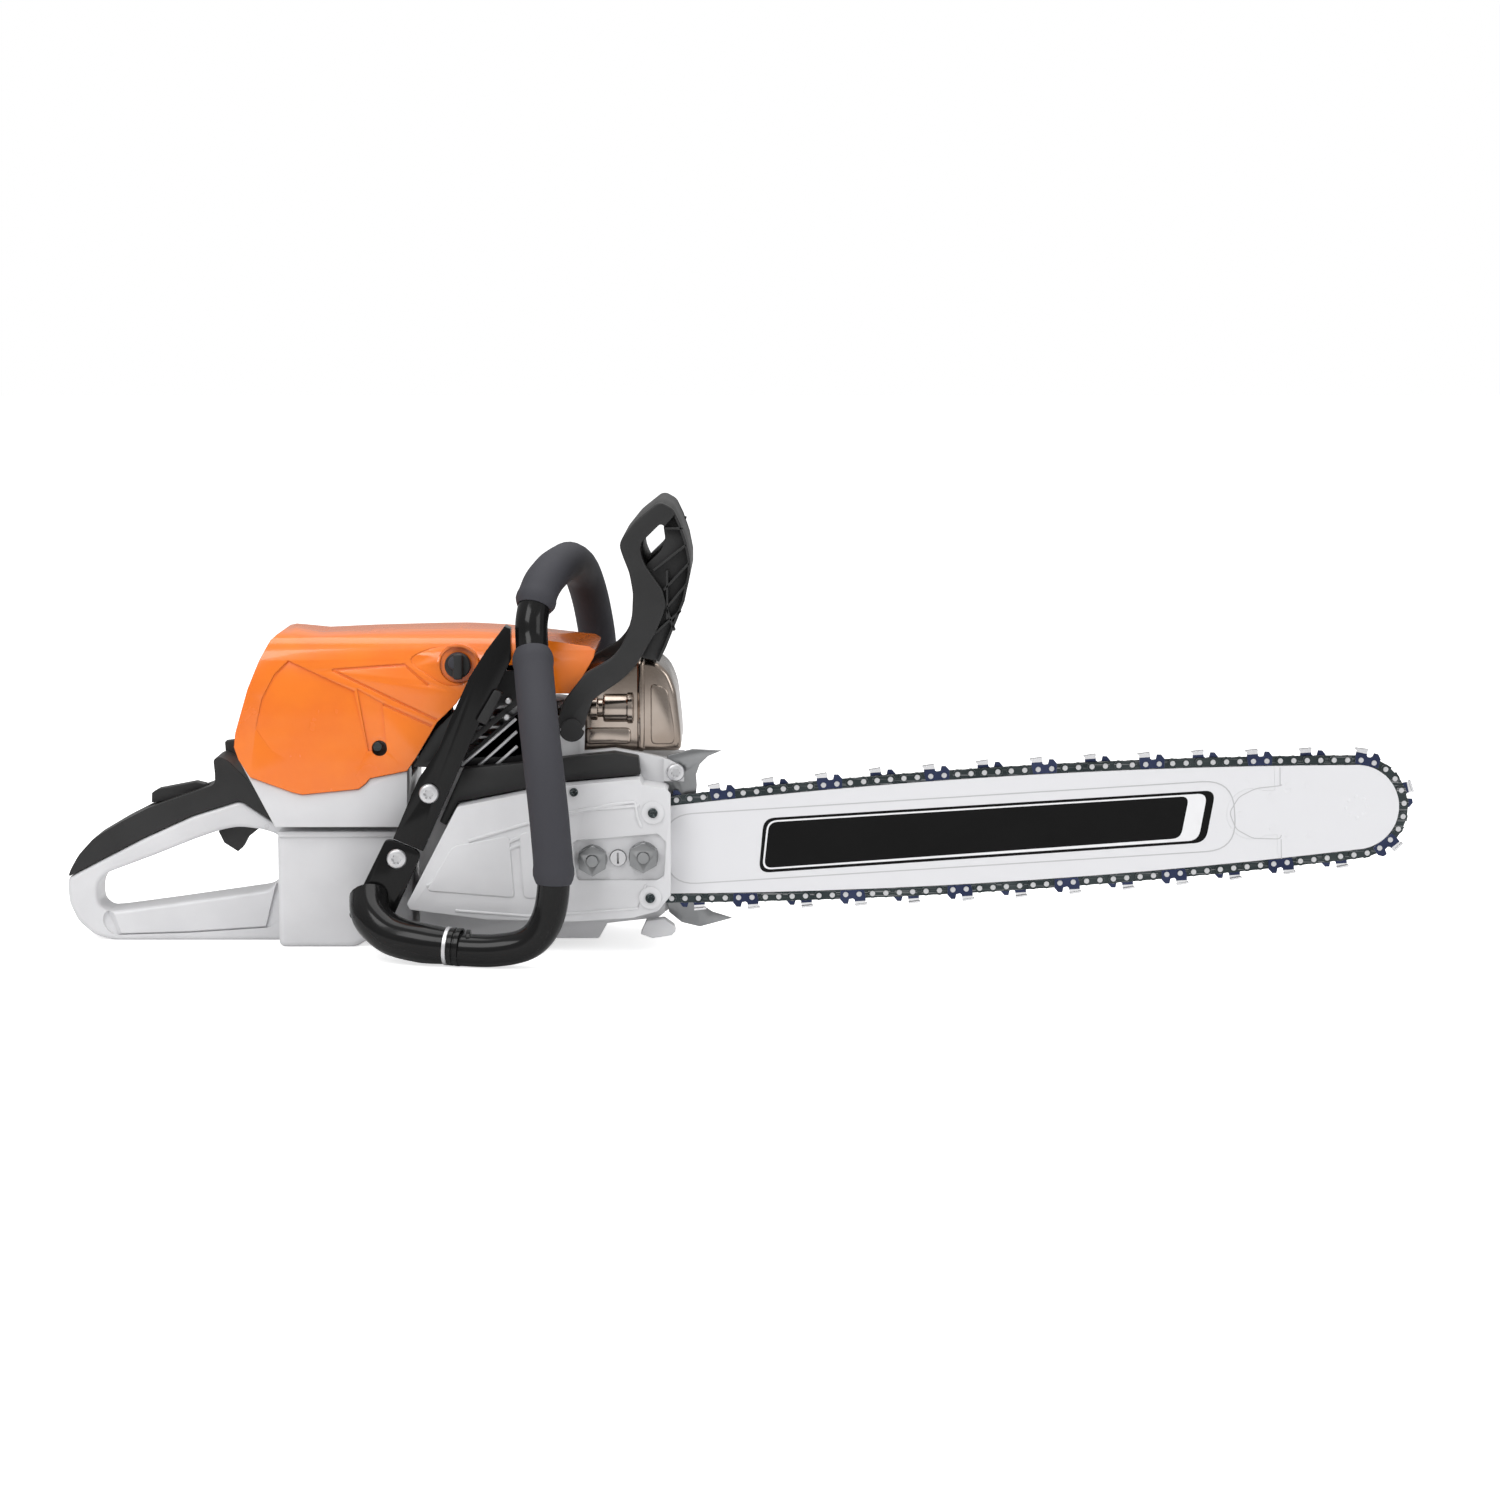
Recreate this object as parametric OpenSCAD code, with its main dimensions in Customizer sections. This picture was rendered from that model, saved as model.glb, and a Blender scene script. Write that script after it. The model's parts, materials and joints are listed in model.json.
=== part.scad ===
// Petrol chainsaw with a three-quarter wrap handle, a long sprocket-nose bar and a full chisel chain.
// +X runs forward to the nose of the bar, +Y to the operator's left, +Z up, in millimetres.
// Outlines are drawn from a working zero on the ground, just behind the crankshaft. place() then
// moves the whole saw so that the middle of its base is the origin.

/* [Body] */
// Width of the top cover, which sets how far apart everything on its two sides stands
cover_w = 120; // [114:1:150]
// Wall of the plastic housings
wall = 3; // [2:0.1:3.6]
// Height of the fuel tank under its flange
tank_h = 84; // [80:1:86]
// Width of the fuel tank
tank_w = 96; // [80:1:100]
// Width of the rear handle
handle_w = 38; // [30:1:44]

/* [Engine] */
// Height of the crankshaft above the ground
crank_z = 66; // [64:1:70]
// Bore of the cylinder
bore_d = 52; // [42:1:58]
// Stroke of the piston
stroke = 36; // [30:1:40]
// Length of the connecting rod between its two bores
rod_l = 60; // [56:1:62]
// Diameter of the flywheel
flywheel_d = 88; // [72:1:92]
// Outer diameter of the clutch drum
drum_d = 76; // [64:1:80]
// Pitch radius of the starter rope on its pulley
rope_r = 27; // [24:1:29]

/* [Bar and chain] */
// Distance from the crankshaft to the centre of the bar's nose
bar_centres = 598; // [400:1:760]
// Nose-up tilt of the bar, in degrees
bar_tilt = 3.6; // [0:0.1:5]
// Thickness of the bar
bar_t = 4; // [3.2:0.1:4.8]
// Radius of the bar's nose
nose_r = 30.2; // [28:0.1:32]
// Half height of the bar at its tail
tail_half = 27; // [25:0.5:28]
// Extra half height of the bar at its middle
belly = 9; // [4:0.5:11]
// Distance between neighbouring chain rivets
rivet_pitch = 9.525; // [8.2:0.005:10.3]
// Thickness of a drive link
gauge = 1.5; // [1.1:0.1:1.6]
// Thickness of a tie strap or a cutter
strap_t = 1.3; // [1:0.1:1.5]
// Teeth of the drive sprocket
drive_teeth = 7; // [7:1:8]
// Teeth of the nose sprocket
nose_teeth = 11; // [9:1:12]

/* [Handles] */
// Outer diameter of the front handle tube
tube_d = 23; // [19:0.5:27]
// Thickness of the rubber sleeves on the tube
sleeve_t = 2.4; // [1.5:0.1:3]
// Wall of the handle tube
tube_wall = 2; // [1.5:0.1:3]

/* [Fits] */
// Running clearance between a shaft and its bore
fit = 0.05; // [0.02:0.01:0.1]
// Gap between pieces that move past each other or meet along a seam
gap = 0.4; // [0.3:0.05:0.8]

/* [Hidden] */
$fn = 48;

// Key places of the drawing
crank_x = 11;
hw = cover_w / 2;
th = tank_w / 2;
tube_r = tube_d / 2;
bar_y = -(hw + 2);
case_right = bar_y + 6;
case_left = hw - 20;
cover_face = bar_y - 26;
pocket_floor = bar_y + 33;
fan_left = hw + 24;
piston_top = crank_z + stroke / 2 + rod_l + 16;
pin_z = crank_z + stroke / 2 + rod_l;
case_top = 112;
// How far the front handle stands out past the cover's sides, on the right and on the left
wrap_out = 75;
leg_out = 41;
rear_x = -316;

// Chain and sprocket sizes
strap_seat = 3.6;
strap_foot = strap_seat - 0.5;
rivet_r = 1.9;
drive_r = rivet_pitch / (2 * sin(90 / drive_teeth));
nose_pitch_r = nose_r + strap_seat;
tang_l = 8.4;
tail_u = 40;
chain_top = 8;
front_x = crank_x + (bar_centres + nose_pitch_r) * cos(bar_tilt) + chain_top - 3;

// ---------------------------------------------------------------- drawing helpers

module place() translate([-(rear_x + front_x) / 2, (wrap_out - leg_out) / 2, 0]) children();

// A side outline, drawn in X and Z, as a slab between two widths
module side(y0, y1) translate([0, y1, 0]) rotate([90, 0, 0]) linear_extrude(y1 - y0) children();

// A front outline, drawn in Y and Z, as a slab between two lengths
module front(x0, x1) translate([x0, 0, 0]) rotate([90, 0, 90]) linear_extrude(x1 - x0) children();

// A round bar across the saw
module across(x, z, r, y0, y1) translate([x, y1, z]) rotate([90, 0, 0]) cylinder(r = r, h = y1 - y0);

// The same round bar on the crankshaft's axis
module on_crank(r, y0, y1) across(crank_x, crank_z, r, y0, y1);

// A round bar along the saw
module along(y, z, r, x0, x1) translate([x0, y, z]) rotate([0, 90, 0]) cylinder(r = r, h = x1 - x0);

// A box between two corners
module block(a, b) translate(a) cube(b - a);

// Softened corners of a flat outline
module soft(r) offset(r, $fn = 24) offset(delta = -r) children();

// The bar's own frame: x along the bar from the crankshaft, y up, z towards the right of the saw
module in_bar() translate([crank_x, bar_y, crank_z]) rotate([0, -bar_tilt, 0]) rotate([90, 0, 0]) children();

// Where a point of the bar's frame comes in the drawing
function bar_point(u, v) = [crank_x + u * cos(bar_tilt) - v * sin(bar_tilt),
    crank_z + u * sin(bar_tilt) + v * cos(bar_tilt)];

// A button-head screw whose head stands on a face and points to the right
module screw(x, z, face, r = 7, length = 8) difference() {
    union() {
        across(x, z, r, face - 3.4, face);
        across(x, z, r * 0.42, face, face + length);
    }
    translate([x, face - 1.2, z]) rotate([90, 0, 0]) cylinder(r = r * 0.45, h = 6, $fn = 6);
}

// ---------------------------------------------------------------- housings at the rear

// Lower edge of the top cover, from the rear round to the side opening
cover_seam = [[-185, 137], [-177, 124.5], [-147, 113.6], [-140, 112], [-100, 116], [-95, 120],
    [-92, 123.6], [-65.5, 129]];
// Boundary between the black upper half and the pale lower half of the rear handle
grip_seam = [[-315.5, 46], [-309, 49.5], [-289, 60], [-261, 74.5], [-225, 91], [-190, 102], [-166, 86]];
trigger_pivot = [-180, 90];
lockout_pivot = [-221, 107];
fuel_cap_at = [-120, 46];
oil_cap_at = [96, 46];
tank_x0 = -160;
tank_x1 = -64;
boss_at = [-74, 15];

// The rear handle's ring, drawn from its heel round to the tank
module handle_outline() difference() {
    soft(3) polygon(concat([[-284, 0], [-297, 3.5], [-309, 14], [-315, 27], [rear_x, 38]],
        [for (p = grip_seam) p - [0, gap / 2]], [[tank_x0 + 2, 84], [tank_x0 + 2, 0]]));
    soft(4) polygon([[-288, 49], [-252, 62.5], [-222, 74.5], [-203, 81], [-191, 83], [-174, 81], [-163, 77],
        [-161, 70], [-160.5, 46.7], [-170, 37], [-198, 33], [-240, 27], [-277, 22], [-288, 21], [-294, 26],
        [-295, 33], [-294, 42]]);
}

// Room inside the handle for the trigger, its rod and the lockout
module linkage_room() {
    side(-6.6, 6.6) polygon([[-212, 72], [-170, 72], [-170, 96], [-192, 110], [-212, 104]]);
    side(-6.6, 6.6) polygon([[-259, 92], [-214, 98], [-214, 120], [-259, 120]]);
}

module tank_housing() color("gainsboro") difference() {
    union() {
        side(-handle_w / 2, handle_w / 2) handle_outline();
        side(-th, th) soft(5) polygon([[tank_x0, 0], [-104, 0], [-97, 5], [tank_x1, 5], [tank_x1, tank_h],
            [tank_x0, tank_h]]);
        block([tank_x0 + 1, -th - 2, tank_h - 4], [tank_x1, th + 2, tank_h]);
        across(boss_at[0], boss_at[1], tube_r + 2, th - 1, hw - 6);
        across(fuel_cap_at[0], fuel_cap_at[1], 22, th - 1, th + 3);
    }
    block([tank_x0 + wall, -th + wall, wall + 3], [tank_x1 - wall, th - wall, tank_h - 4 - wall]);
    across(fuel_cap_at[0], fuel_cap_at[1], 17 + fit, th - 10, th + 10);
    linkage_room();
    across(trigger_pivot[0], trigger_pivot[1], 2 + fit, -handle_w, handle_w);
    across(-171, 83.5, 2.4, -handle_w, -handle_w / 2 + 2);
}

// Black upper half of the rear handle, with the thumb rest at its front
module handle_moulding() color("dimgray") difference() {
    side(-handle_w / 2, handle_w / 2) difference() {
        polygon(concat([for (i = [6:-1:0]) grip_seam[i] + [0, gap / 2]], [[-313.5, 52], [-307.5, 62.5],
            [-296.4, 74.7], [-275.6, 87], [-256, 97], [-216, 111.2], [-208, 114], [-208, 122], [-209, 132],
            [-204.5, 134.3], [-198, 131.3], [-184, 116.7], [-173, 100]]));
        polygon([[-166, 80], [-166, 88], [-172, 80]]);
    }
    linkage_room();
    across(trigger_pivot[0], trigger_pivot[1], 2 + fit, -handle_w, handle_w);
    across(lockout_pivot[0], lockout_pivot[1], 2 + fit, -handle_w, handle_w);
    across(-200, 119, 3 + fit, handle_w / 2 - 6, handle_w);
}

module throttle_trigger() color("dimgray") difference() {
    side(-5.8, 5.8) union() {
        polygon([[-174, 92], [-182, 96.5], [-188, 95], [-196, 84], [-208, 78], [-204, 69.5], [-194, 63],
            [-190.5, 66], [-186.5, 73.5], [-176, 82]]);
        translate(trigger_pivot) circle(6);
    }
    across(trigger_pivot[0], trigger_pivot[1], 2 + fit, -10, 10);
}

module throttle_lockout() color("dimgray") difference() {
    side(-5.8, 5.8) polygon([[-256, 99], [-255.7, 106], [-251, 108.8], [-224, 114], [-217, 112.3],
        [-215, 107],
        [-217, 103], [-226, 102.5]]);
    across(lockout_pivot[0], lockout_pivot[1], 2 + fit, -10, 10);
}

// Pins that the trigger, the lockout and the hand guard turn on
module pivot_pins() color("silver") {
    for (p = [trigger_pivot, lockout_pivot]) across(p[0], p[1], 2, -handle_w / 2 + 1, handle_w / 2 - 1);
    for (s = [-1, 1]) {
        across(pivot_at[0], pivot_at[1], 4, min(s * (hw - 8), s * (guard_y + 9)),
            max(s * (hw - 8), s * (guard_y + 9)));
        across(pivot_at[0], pivot_at[1], 7.5, min(s * (guard_y + 8.4), s * (guard_y + 11)),
            max(s * (guard_y + 8.4), s * (guard_y + 11)));
    }
}

// Start, run and stop lever on the left of the rear handle
module control_lever() color("dimgray") {
    across(-200, 119, 3, handle_w / 2 - 5.5, handle_w / 2 + 1);
    side(handle_w / 2 + 0.5, handle_w / 2 + 7) soft(2) polygon([[-206, 113], [-194, 113], [-192, 124],
        [-198, 142], [-206, 141], [-205, 125]]);
}

// ---------------------------------------------------------------- intake and cover

module airbox_base() color("gainsboro") difference() {
    side(-hw + 2, hw - 2) polygon(concat([[-66, tank_h + 4.3], [tank_x0, tank_h + 4.3]],
        [for (p = cover_seam) p - [0, gap]]));
    side(-hw + 2 + wall, hw - 2 - wall) polygon([[-66 - wall, tank_h + 4.3 + wall],
        [tank_x0 + 2, tank_h + 4.3 + wall], [-181.5, 140], [-66 - wall, 140]]);
    block([-80, -24, 120], [-60, 24, 140]);
}

// Roof of the cover seen from the front, a rounded arch
module cover_arch(inset) polygon(concat([[-hw + inset, 80]],
    [for (a = [180:-7.5:0]) [(hw - inset) * sign(cos(a)) * pow(abs(cos(a)), 0.45),
        130 + (98 - inset) * pow(sin(a), 0.45)]], [[hw - inset, 80]]));

// Side of the cover before its lower edge is cut
module cover_side() polygon([[-166, 90], [-185, 137], [-188, 146], [-187, 156], [-178, 187], [-170, 207],
    [-163, 220.5], [-159, 224.3], [-154, 225.6], [-130, 222.7], [-95, 224.6], [-60, 226], [-29, 227],
    [-1, 225], [34, 220.6], [64, 216.6], [68, 214], [67, 209], [57, 192], [51, 184], [51, 90]]);

// Everything above the cover's lower edge and its side opening
module above_seam() polygon(concat(cover_seam, [[-59, 138.5], [-44, 163.6], [-30, 177], [-13, 204], [16, 204],
    [30, 184], [80, 184], [80, 240], [-200, 240], [-200, 137]]));

lock_at = [-29, 204];

module top_cover() color("darkorange") difference() {
    union() {
        intersection() {
            side(-hw, hw) intersection() {
                cover_side();
                above_seam();
            }
            difference() {
                front(-200, 80) cover_arch(0);
                intersection() {
                    front(-210, 90) cover_arch(2.5);
                    side(-hw - 1, hw + 1) offset(delta = -2.5) cover_side();
                }
            }
        }
        for (s = [-1, 1]) across(lock_at[0], lock_at[1], 15, s * (hw - 7.5) - 4.5, s * (hw - 7.5) + 4.5);
    }
    for (s = [-1, 1]) {
        across(lock_at[0], lock_at[1], 13, s * (hw + 2) - 9, s * (hw + 2) + 9);
        across(lock_at[0], lock_at[1], 5.5 + gap, s * hw - 20, s * hw + 20);
        across(-85, 145, 5.5, s * hw - 3.5, s * hw + 3.5);
    }
}

// Bracket inside the cover that both locks turn into
module cover_locks_seat() color("dimgray") side(-hw + 24, hw - 24) soft(2) polygon([
    [lock_at[0] - 9, lock_at[1] - 9], [lock_at[0] + 9, lock_at[1] - 9], [lock_at[0] + 9, lock_at[1] + 9],
    [lock_at[0] - 9, lock_at[1] + 9]]);

// A quarter-turn lock with a slotted knob
module cover_lock(s) color("dimgray") translate([lock_at[0], s * hw, lock_at[1]]) rotate([90 * -s, 0, 0])
    difference() {
        union() {
            translate([0, 0, -6.8]) cylinder(r = 12.4, h = 2);
            translate([0, 0, -6.8]) cylinder(r = 7.6, h = 12.3);
            translate([0, 0, -23.6]) cylinder(r = 5.3, h = 17.6);
        }
        translate([-1.2, -9, 3]) cube([2.4, 18, 4]);
        for (k = [0:11]) rotate(k * 30) translate([8, 0, -4.5]) cylinder(r = 0.9, h = 12);
    }
module cover_lock_right() cover_lock(-1);
module cover_lock_left() cover_lock(1);

filter_x = [-156, -110];
// Rounded plate in Y and Z, centred on the intake
intake_z = 150;
module intake_plate(w, h, r) translate([-w / 2, intake_z - h / 2]) soft(r) square([w, h]);

module air_filter() color("khaki") {
    front(filter_x[0], filter_x[0] + 4) intake_plate(hw * 1.5, 62, 10);
    front(filter_x[1] - 5, filter_x[1]) intake_plate(hw * 1.5, 62, 10);
    for (k = [0:10]) front(filter_x[0] + 4 + k * 3.4, filter_x[0] + 5.7 + k * 3.4)
        translate([-hw * 0.75 + 3, intake_z - 28]) square([hw * 1.5 - 6, 56]);
    front(filter_x[0] + 4, filter_x[1] - 5) intake_plate(hw * 1.5 - 14, 48, 6);
}

module carburettor() color("silver") difference() {
    union() {
        block([-104, -21, intake_z - 19], [-66, 21, intake_z + 17]);
        along(0, intake_z, 19, -109.5, -103);
        along(0, intake_z, 17, -67, -62);
        translate([-85, 0, intake_z + 16]) cylinder(r = 12, h = 7);
        translate([-85, 0, intake_z - 25]) cylinder(r = 12, h = 7);
        across(-78, intake_z + 4, 4, 20, 29);
        across(-94, intake_z - 4, 4, 20, 27);
    }
    along(0, intake_z, 11, -120, -50);
}

module intake_boot() color("dimgray") difference() {
    union() {
        along(0, intake_z, 15, -61.8, -38);
        along(0, intake_z, 20, -61.8, -58);
        along(0, intake_z, 20, -42, -38);
        along(0, intake_z, 17.5, -53, -50);
    }
    along(0, intake_z, 11, -70, -30);
}

// ---------------------------------------------------------------- engine

fin_half = [35, 40];
fin_t = 1.8;
fins = 8;
fin_step = 7.2;
exhaust_z = 150;
bore_r = bore_d / 2;
plug_z = piston_top + 14;

module engine_cylinder() color("silver") difference() {
    union() {
        translate([crank_x, 0, case_top]) cylinder(r = bore_r + 6, h = plug_z - case_top);
        translate([crank_x, 0, case_top - 14]) cylinder(r = bore_r + 3.5, h = 16);
        block([crank_x - bore_r - 9, -bore_r - 9, case_top],
            [crank_x + bore_r + 9, bore_r + 9, case_top + 6]);
        for (k = [0:fins - 1]) translate([crank_x, 0, case_top + 9 + k * fin_step]) linear_extrude(fin_t)
            polygon([for (q = [[1, 1], [-1, 1], [-1, -1], [1, -1]]) for (c = [0, 1])
                [q[0] * (fin_half[0] - (q[0] * q[1] > 0 ? c : 1 - c) * 8),
                    q[1] * (fin_half[1] - (q[0] * q[1] > 0 ? 1 - c : c) * 8)]]);
        along(0, exhaust_z, 17, crank_x + bore_r, 56.6);
        along(0, intake_z, 16, -37.8, crank_x - bore_r);
    }
    translate([crank_x, 0, case_top - 20]) cylinder(r = bore_r, h = piston_top + 4 - case_top + 20);
    translate([crank_x, 0, piston_top]) cylinder(r = 5.1, h = 40);
    along(0, exhaust_z, 12, crank_x + bore_r - 4, 60);
    along(0, intake_z, 11, -40, crank_x - bore_r + 4);
}

module spark_plug() color("whitesmoke") translate([crank_x, 0, 0]) {
    translate([0, 0, plug_z - 9]) cylinder(r = 5, h = 9);
    translate([0, 0, plug_z]) cylinder(r = 9, h = 9, $fn = 6);
    translate([0, 0, plug_z + 9]) cylinder(r = 5.5, h = 8);
    translate([0, 0, plug_z + 17]) cylinder(r = 3, h = 7);
}

// Rubber cap that grips the plug, with a short spout to the left for the lead
lead_z = plug_z + 21;
module plug_cap() color("dimgray") difference() {
    union() {
        translate([crank_x, 0, plug_z + 10]) cylinder(r = 9.5, h = 20);
        across(crank_x, lead_z, 6.5, 0, 22);
    }
    translate([crank_x, 0, plug_z + 9]) cylinder(r = 5.5, h = 8);
    translate([crank_x, 0, plug_z + 16.9]) cylinder(r = 3, h = 7.2);
    across(crank_x, lead_z, 3.2, 14, 30);
}

// Places that the ignition lead passes through, from the cap to the coil's stub
coil_y = case_left + 11;
lead_route = [[crank_x, 15, lead_z], [crank_x, 30, lead_z], [crank_x, coil_y - 7, lead_z - 4],
    [crank_x, coil_y - 1, lead_z - 16], [crank_x, coil_y, lead_z - 40], [crank_x, coil_y, 142.2]];
module ignition_lead() color("dimgray") sweep(route_rings(lead_route, 3), 3, 0, 8);

module ignition_coil() color("dimgray") {
    block([crank_x - 15, case_left + 4, 118], [crank_x + 15, case_left + 18, 138]);
    translate([crank_x, coil_y, 138]) cylinder(r = 5, h = 4);
    for (s = [-1, 1]) block([crank_x + s * 13 - 4, case_left + 7, crank_z + flywheel_d / 2 + 1.4 + 2],
        [crank_x + s * 13 + 4, case_left + 15, 118]);
}

// Length of the piston, short enough to clear the turning crank webs at the bottom of its stroke
skirt = 27.5;
module piston() color("silver") difference() {
    translate([crank_x, 0, piston_top - skirt]) cylinder(r = bore_r - fit, h = skirt);
    translate([crank_x, 0, piston_top - skirt - 1]) cylinder(r = bore_r - 4, h = skirt - 4);
    for (z = [4, 8]) translate([crank_x, 0, piston_top - z]) difference() {
        cylinder(r = bore_r + 1, h = 1.4);
        translate([0, 0, -1]) cylinder(r = bore_r - 1.5, h = 4);
    }
    across(crank_x, pin_z, 6, -bore_r - 1, bore_r + 1);
}

module connecting_rod() color("slategray") {
    difference() {
        side(-4, 4) {
            translate([crank_x, pin_z]) circle(9.5);
            translate([crank_x, crank_z + stroke / 2]) circle(11);
            translate([crank_x - 5, crank_z + stroke / 2]) square([10, rod_l]);
        }
        across(crank_x, pin_z, 6, -10, 10);
        across(crank_x, crank_z + stroke / 2, 7, -10, 10);
    }
    across(crank_x, pin_z, 6, -bore_r + 2, bore_r - 2);
}

// Big-end pin, held by the rod; it ends short of both webs
module crank_pin() color("silver") across(crank_x, crank_z + stroke / 2, 7, -4.3, 4.3);

web_r = stroke / 2 + 11;
module crankshaft() color("slategray") {
    for (s = [-1, 1]) {
        intersection() {
            on_crank(web_r, min(s * 4.7, s * 13.5), max(s * 4.7, s * 13.5));
            side(-20, 20) translate([crank_x, crank_z]) polygon([[-web_r, -web_r], [web_r, -web_r],
                [web_r, -2], [13, 10], [11, web_r], [-11, web_r], [-13, 10], [-web_r, -2]]);
        }
    }
    on_crank(7.5, 13.4, case_left + 24);
    on_crank(7.5, bar_y - 1.5, -13.4);
    on_crank(5.5, bar_y - 12, bar_y - 1.4);
    on_crank(9, bar_y - 12.6, bar_y - 11);
}

module crank_bearings() color("silver") for (s = [-1, 1]) difference() {
    on_crank(17.5, min(s * 15, s * 26), max(s * 15, s * 26));
    on_crank(7.5 + fit, -40, 40);
    for (q = [14.9, 25.1]) difference() {
        on_crank(14.5, min(s * q, s * (q + 1)), max(s * q, s * (q + 1)));
        on_crank(10.5, -40, 40);
    }
}

fly_y = case_left + 4;
module flywheel() color("silver") difference() {
    union() {
        on_crank(flywheel_d / 2, fly_y, fly_y + 6);
        on_crank(flywheel_d / 2 - 12, fly_y, fly_y + 12);
        for (k = [0:13]) translate([crank_x, 0, crank_z]) rotate([0, k * 360 / 14, 0])
            block([flywheel_d / 2 - 16, fly_y + 5, -1], [flywheel_d / 2 - 1.5, fly_y + 17, 1]);
        on_crank(12, fly_y, fly_y + 18);
    }
    on_crank(7.5, 0, 200);
}

hub_y = bar_y + 14.5;
drum_r = drum_d / 2;
shoe_r = drum_r - 2.8;
module clutch_hub() color("slategray") difference() {
    union() {
        on_crank(14, hub_y, hub_y + 15);
        for (k = [0:2]) translate([crank_x, 0, crank_z]) rotate([0, k * 120, 0])
            block([0, hub_y + 2, -5], [22, hub_y + 13, 5]);
    }
    on_crank(7.5, -200, 0);
}

module clutch_shoes() color("dimgray") for (k = [0:2]) difference() {
    translate([crank_x, hub_y + 13.5, crank_z]) rotate([90, 0, 0]) rotate(-k * 120 - 54)
        rotate_extrude(angle = 108) translate([17, 0]) square([shoe_r - 17, 12]);
    translate([crank_x, 0, crank_z]) rotate([0, k * 120, 0])
        block([0, hub_y, -5 - gap], [22 + gap, hub_y + 20, 5 + gap]);
}

// Drum with its rim sprocket, outboard of the drum; the links run between two toothed rims
rim_r = drive_r - strap_seat - 0.3;
module clutch_drum() color("slategray") difference() {
    union() {
        difference() {
            on_crank(drum_r, bar_y + 9.5, bar_y + 31);
            on_crank(drum_r - 2, bar_y + 12, bar_y + 40);
        }
        on_crank(drive_r - tang_l - 0.6, bar_y - 7, bar_y + 10);
        for (s = [-1, 1]) difference() {
            on_crank(rim_r, bar_y + min(s * (gauge / 2 + gap), s * 7),
                bar_y + max(s * (gauge / 2 + gap), s * 7));
            for (k = [0:drive_teeth - 1]) translate([crank_x, 0, crank_z])
                rotate([0, k * 360 / drive_teeth, 0]) translate([rim_r + 0.5, bar_y + 8, 0])
                    rotate([90, 0, 0]) cylinder(r = 3, h = 16);
        }
    }
    on_crank(7.5 + fit, bar_y - 1.8, bar_y + 40);
    on_crank(5.5 + 0.1, bar_y - 20, bar_y);
}

module brake_band() color("silver") difference() {
    on_crank(drum_r + 1.8, bar_y + 14, bar_y + 27);
    on_crank(drum_r + 0.8, bar_y, bar_y + 40);
    translate([crank_x, 0, crank_z]) block([-60, bar_y, -8], [0, bar_y + 40, 4]);
}

pump_at = [-42, 34];
module oil_pump() color("slategray") {
    across(pump_at[0], pump_at[1], 7.9, case_right + 2, case_right + 26);
    across(pump_at[0], pump_at[1], 3, case_right + 0.2, case_right + 2);
}

pivot_at = [52, 160];
spike_screw = [125, 128];
stud_u = [56, 92];
function stud(i) = bar_point(stud_u[i], 0);

// Chain-side wall of the crankcase, which carries the ear for the hand guard
module case_wall() polygon([[-52, 100], [-38, 130], [13, 134.5], [42, 138.5], [43.5, 160], [60.5, 160],
    [60, 142.5], [82, 144.5], [102, 141], [120, 137], [128, 133], [131, 124], [131, 100]]);

module crankcase() color("gainsboro") difference() {
    union() {
        side(case_right, case_left) soft(3) polygon([[-58, 8], [70, 8], [76, 19], [112, 23], [126, 33],
            [131, 48], [131, 132], [46, 132], [46, case_top], [-58, case_top]]);
        block([-50, -8, 0], [62, case_left, 12]);
        side(case_right, case_right + 8) {
            case_wall();
            translate(pivot_at) circle(8.5);
        }
        side(bar_y + 2.4, case_right + 1) intersection() {
            case_wall();
            translate([116.5, 121.5]) square([40, 40]);
        }
        side(hw - 8, hw) translate(pivot_at) {
            circle(8.5);
            translate([-8.5, -22]) square([12.5, 22]);
        }
        block([46.5, case_left - 12, 130], [56, hw - 0.01, 150]);
        in_bar() translate([0, 0, -7]) linear_extrude(7 - bar_t / 2) polygon([[46, -15], [46, 15],
            [108, 15], [112, 11], [112, -11], [108, -15]]);
    }
    on_crank(web_r + 2, -14.5, 14.5);
    on_crank(17.5, -26.5, 26.5);
    on_crank(10, -60, case_left + 10);
    on_crank(drum_r + 5, bar_y - 10, pocket_floor);
    translate([crank_x, 0, crank_z]) cylinder(r = bore_r + 3.6, h = 80);
    block([62, case_right + 14, 34], [124, case_left - 6, 126]);
    block([-53, case_right + 34, 16], [-27, case_left - 6, case_top + 1]);
    across(pump_at[0], pump_at[1], 8, case_right - 5, case_right + 27);
    across(oil_cap_at[0], oil_cap_at[1], 15 + fit, case_left - 10, case_left + 10);
    block([117, case_right, -1], [140, case_right + 3.2, 150]);
    for (i = [0, 1]) across(stud(i)[0], stud(i)[1], 4, case_right - 10, case_right + 12.1);
    for (s = [-1, 1]) across(pivot_at[0], pivot_at[1], 4, s * hw - 12, s * hw + 12);
    across(spike_screw[0], spike_screw[1], 2.7, bar_y - 2, case_right + 8);
}

module side_grille() color("dimgray") difference() {
    side(case_right, case_right + 4) polygon([[-62, 131.5], [-38.5, 130.5], [13, 135], [41.5, 139],
        [41.5, 178], [30, 182], [14, 200], [-12, 200], [-30, 173], [-46, 157]]);
    for (k = [0:8]) side(case_right - 1, case_right + 5) intersection() {
        polygon([[-50, 137], [10, 139], [37, 143], [37, 174], [26, 178], [-26, 172], [-42, 154]]);
        translate([-50 + k * 12, 128]) rotate(40) square([110, 3.6]);
    }
}

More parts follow.
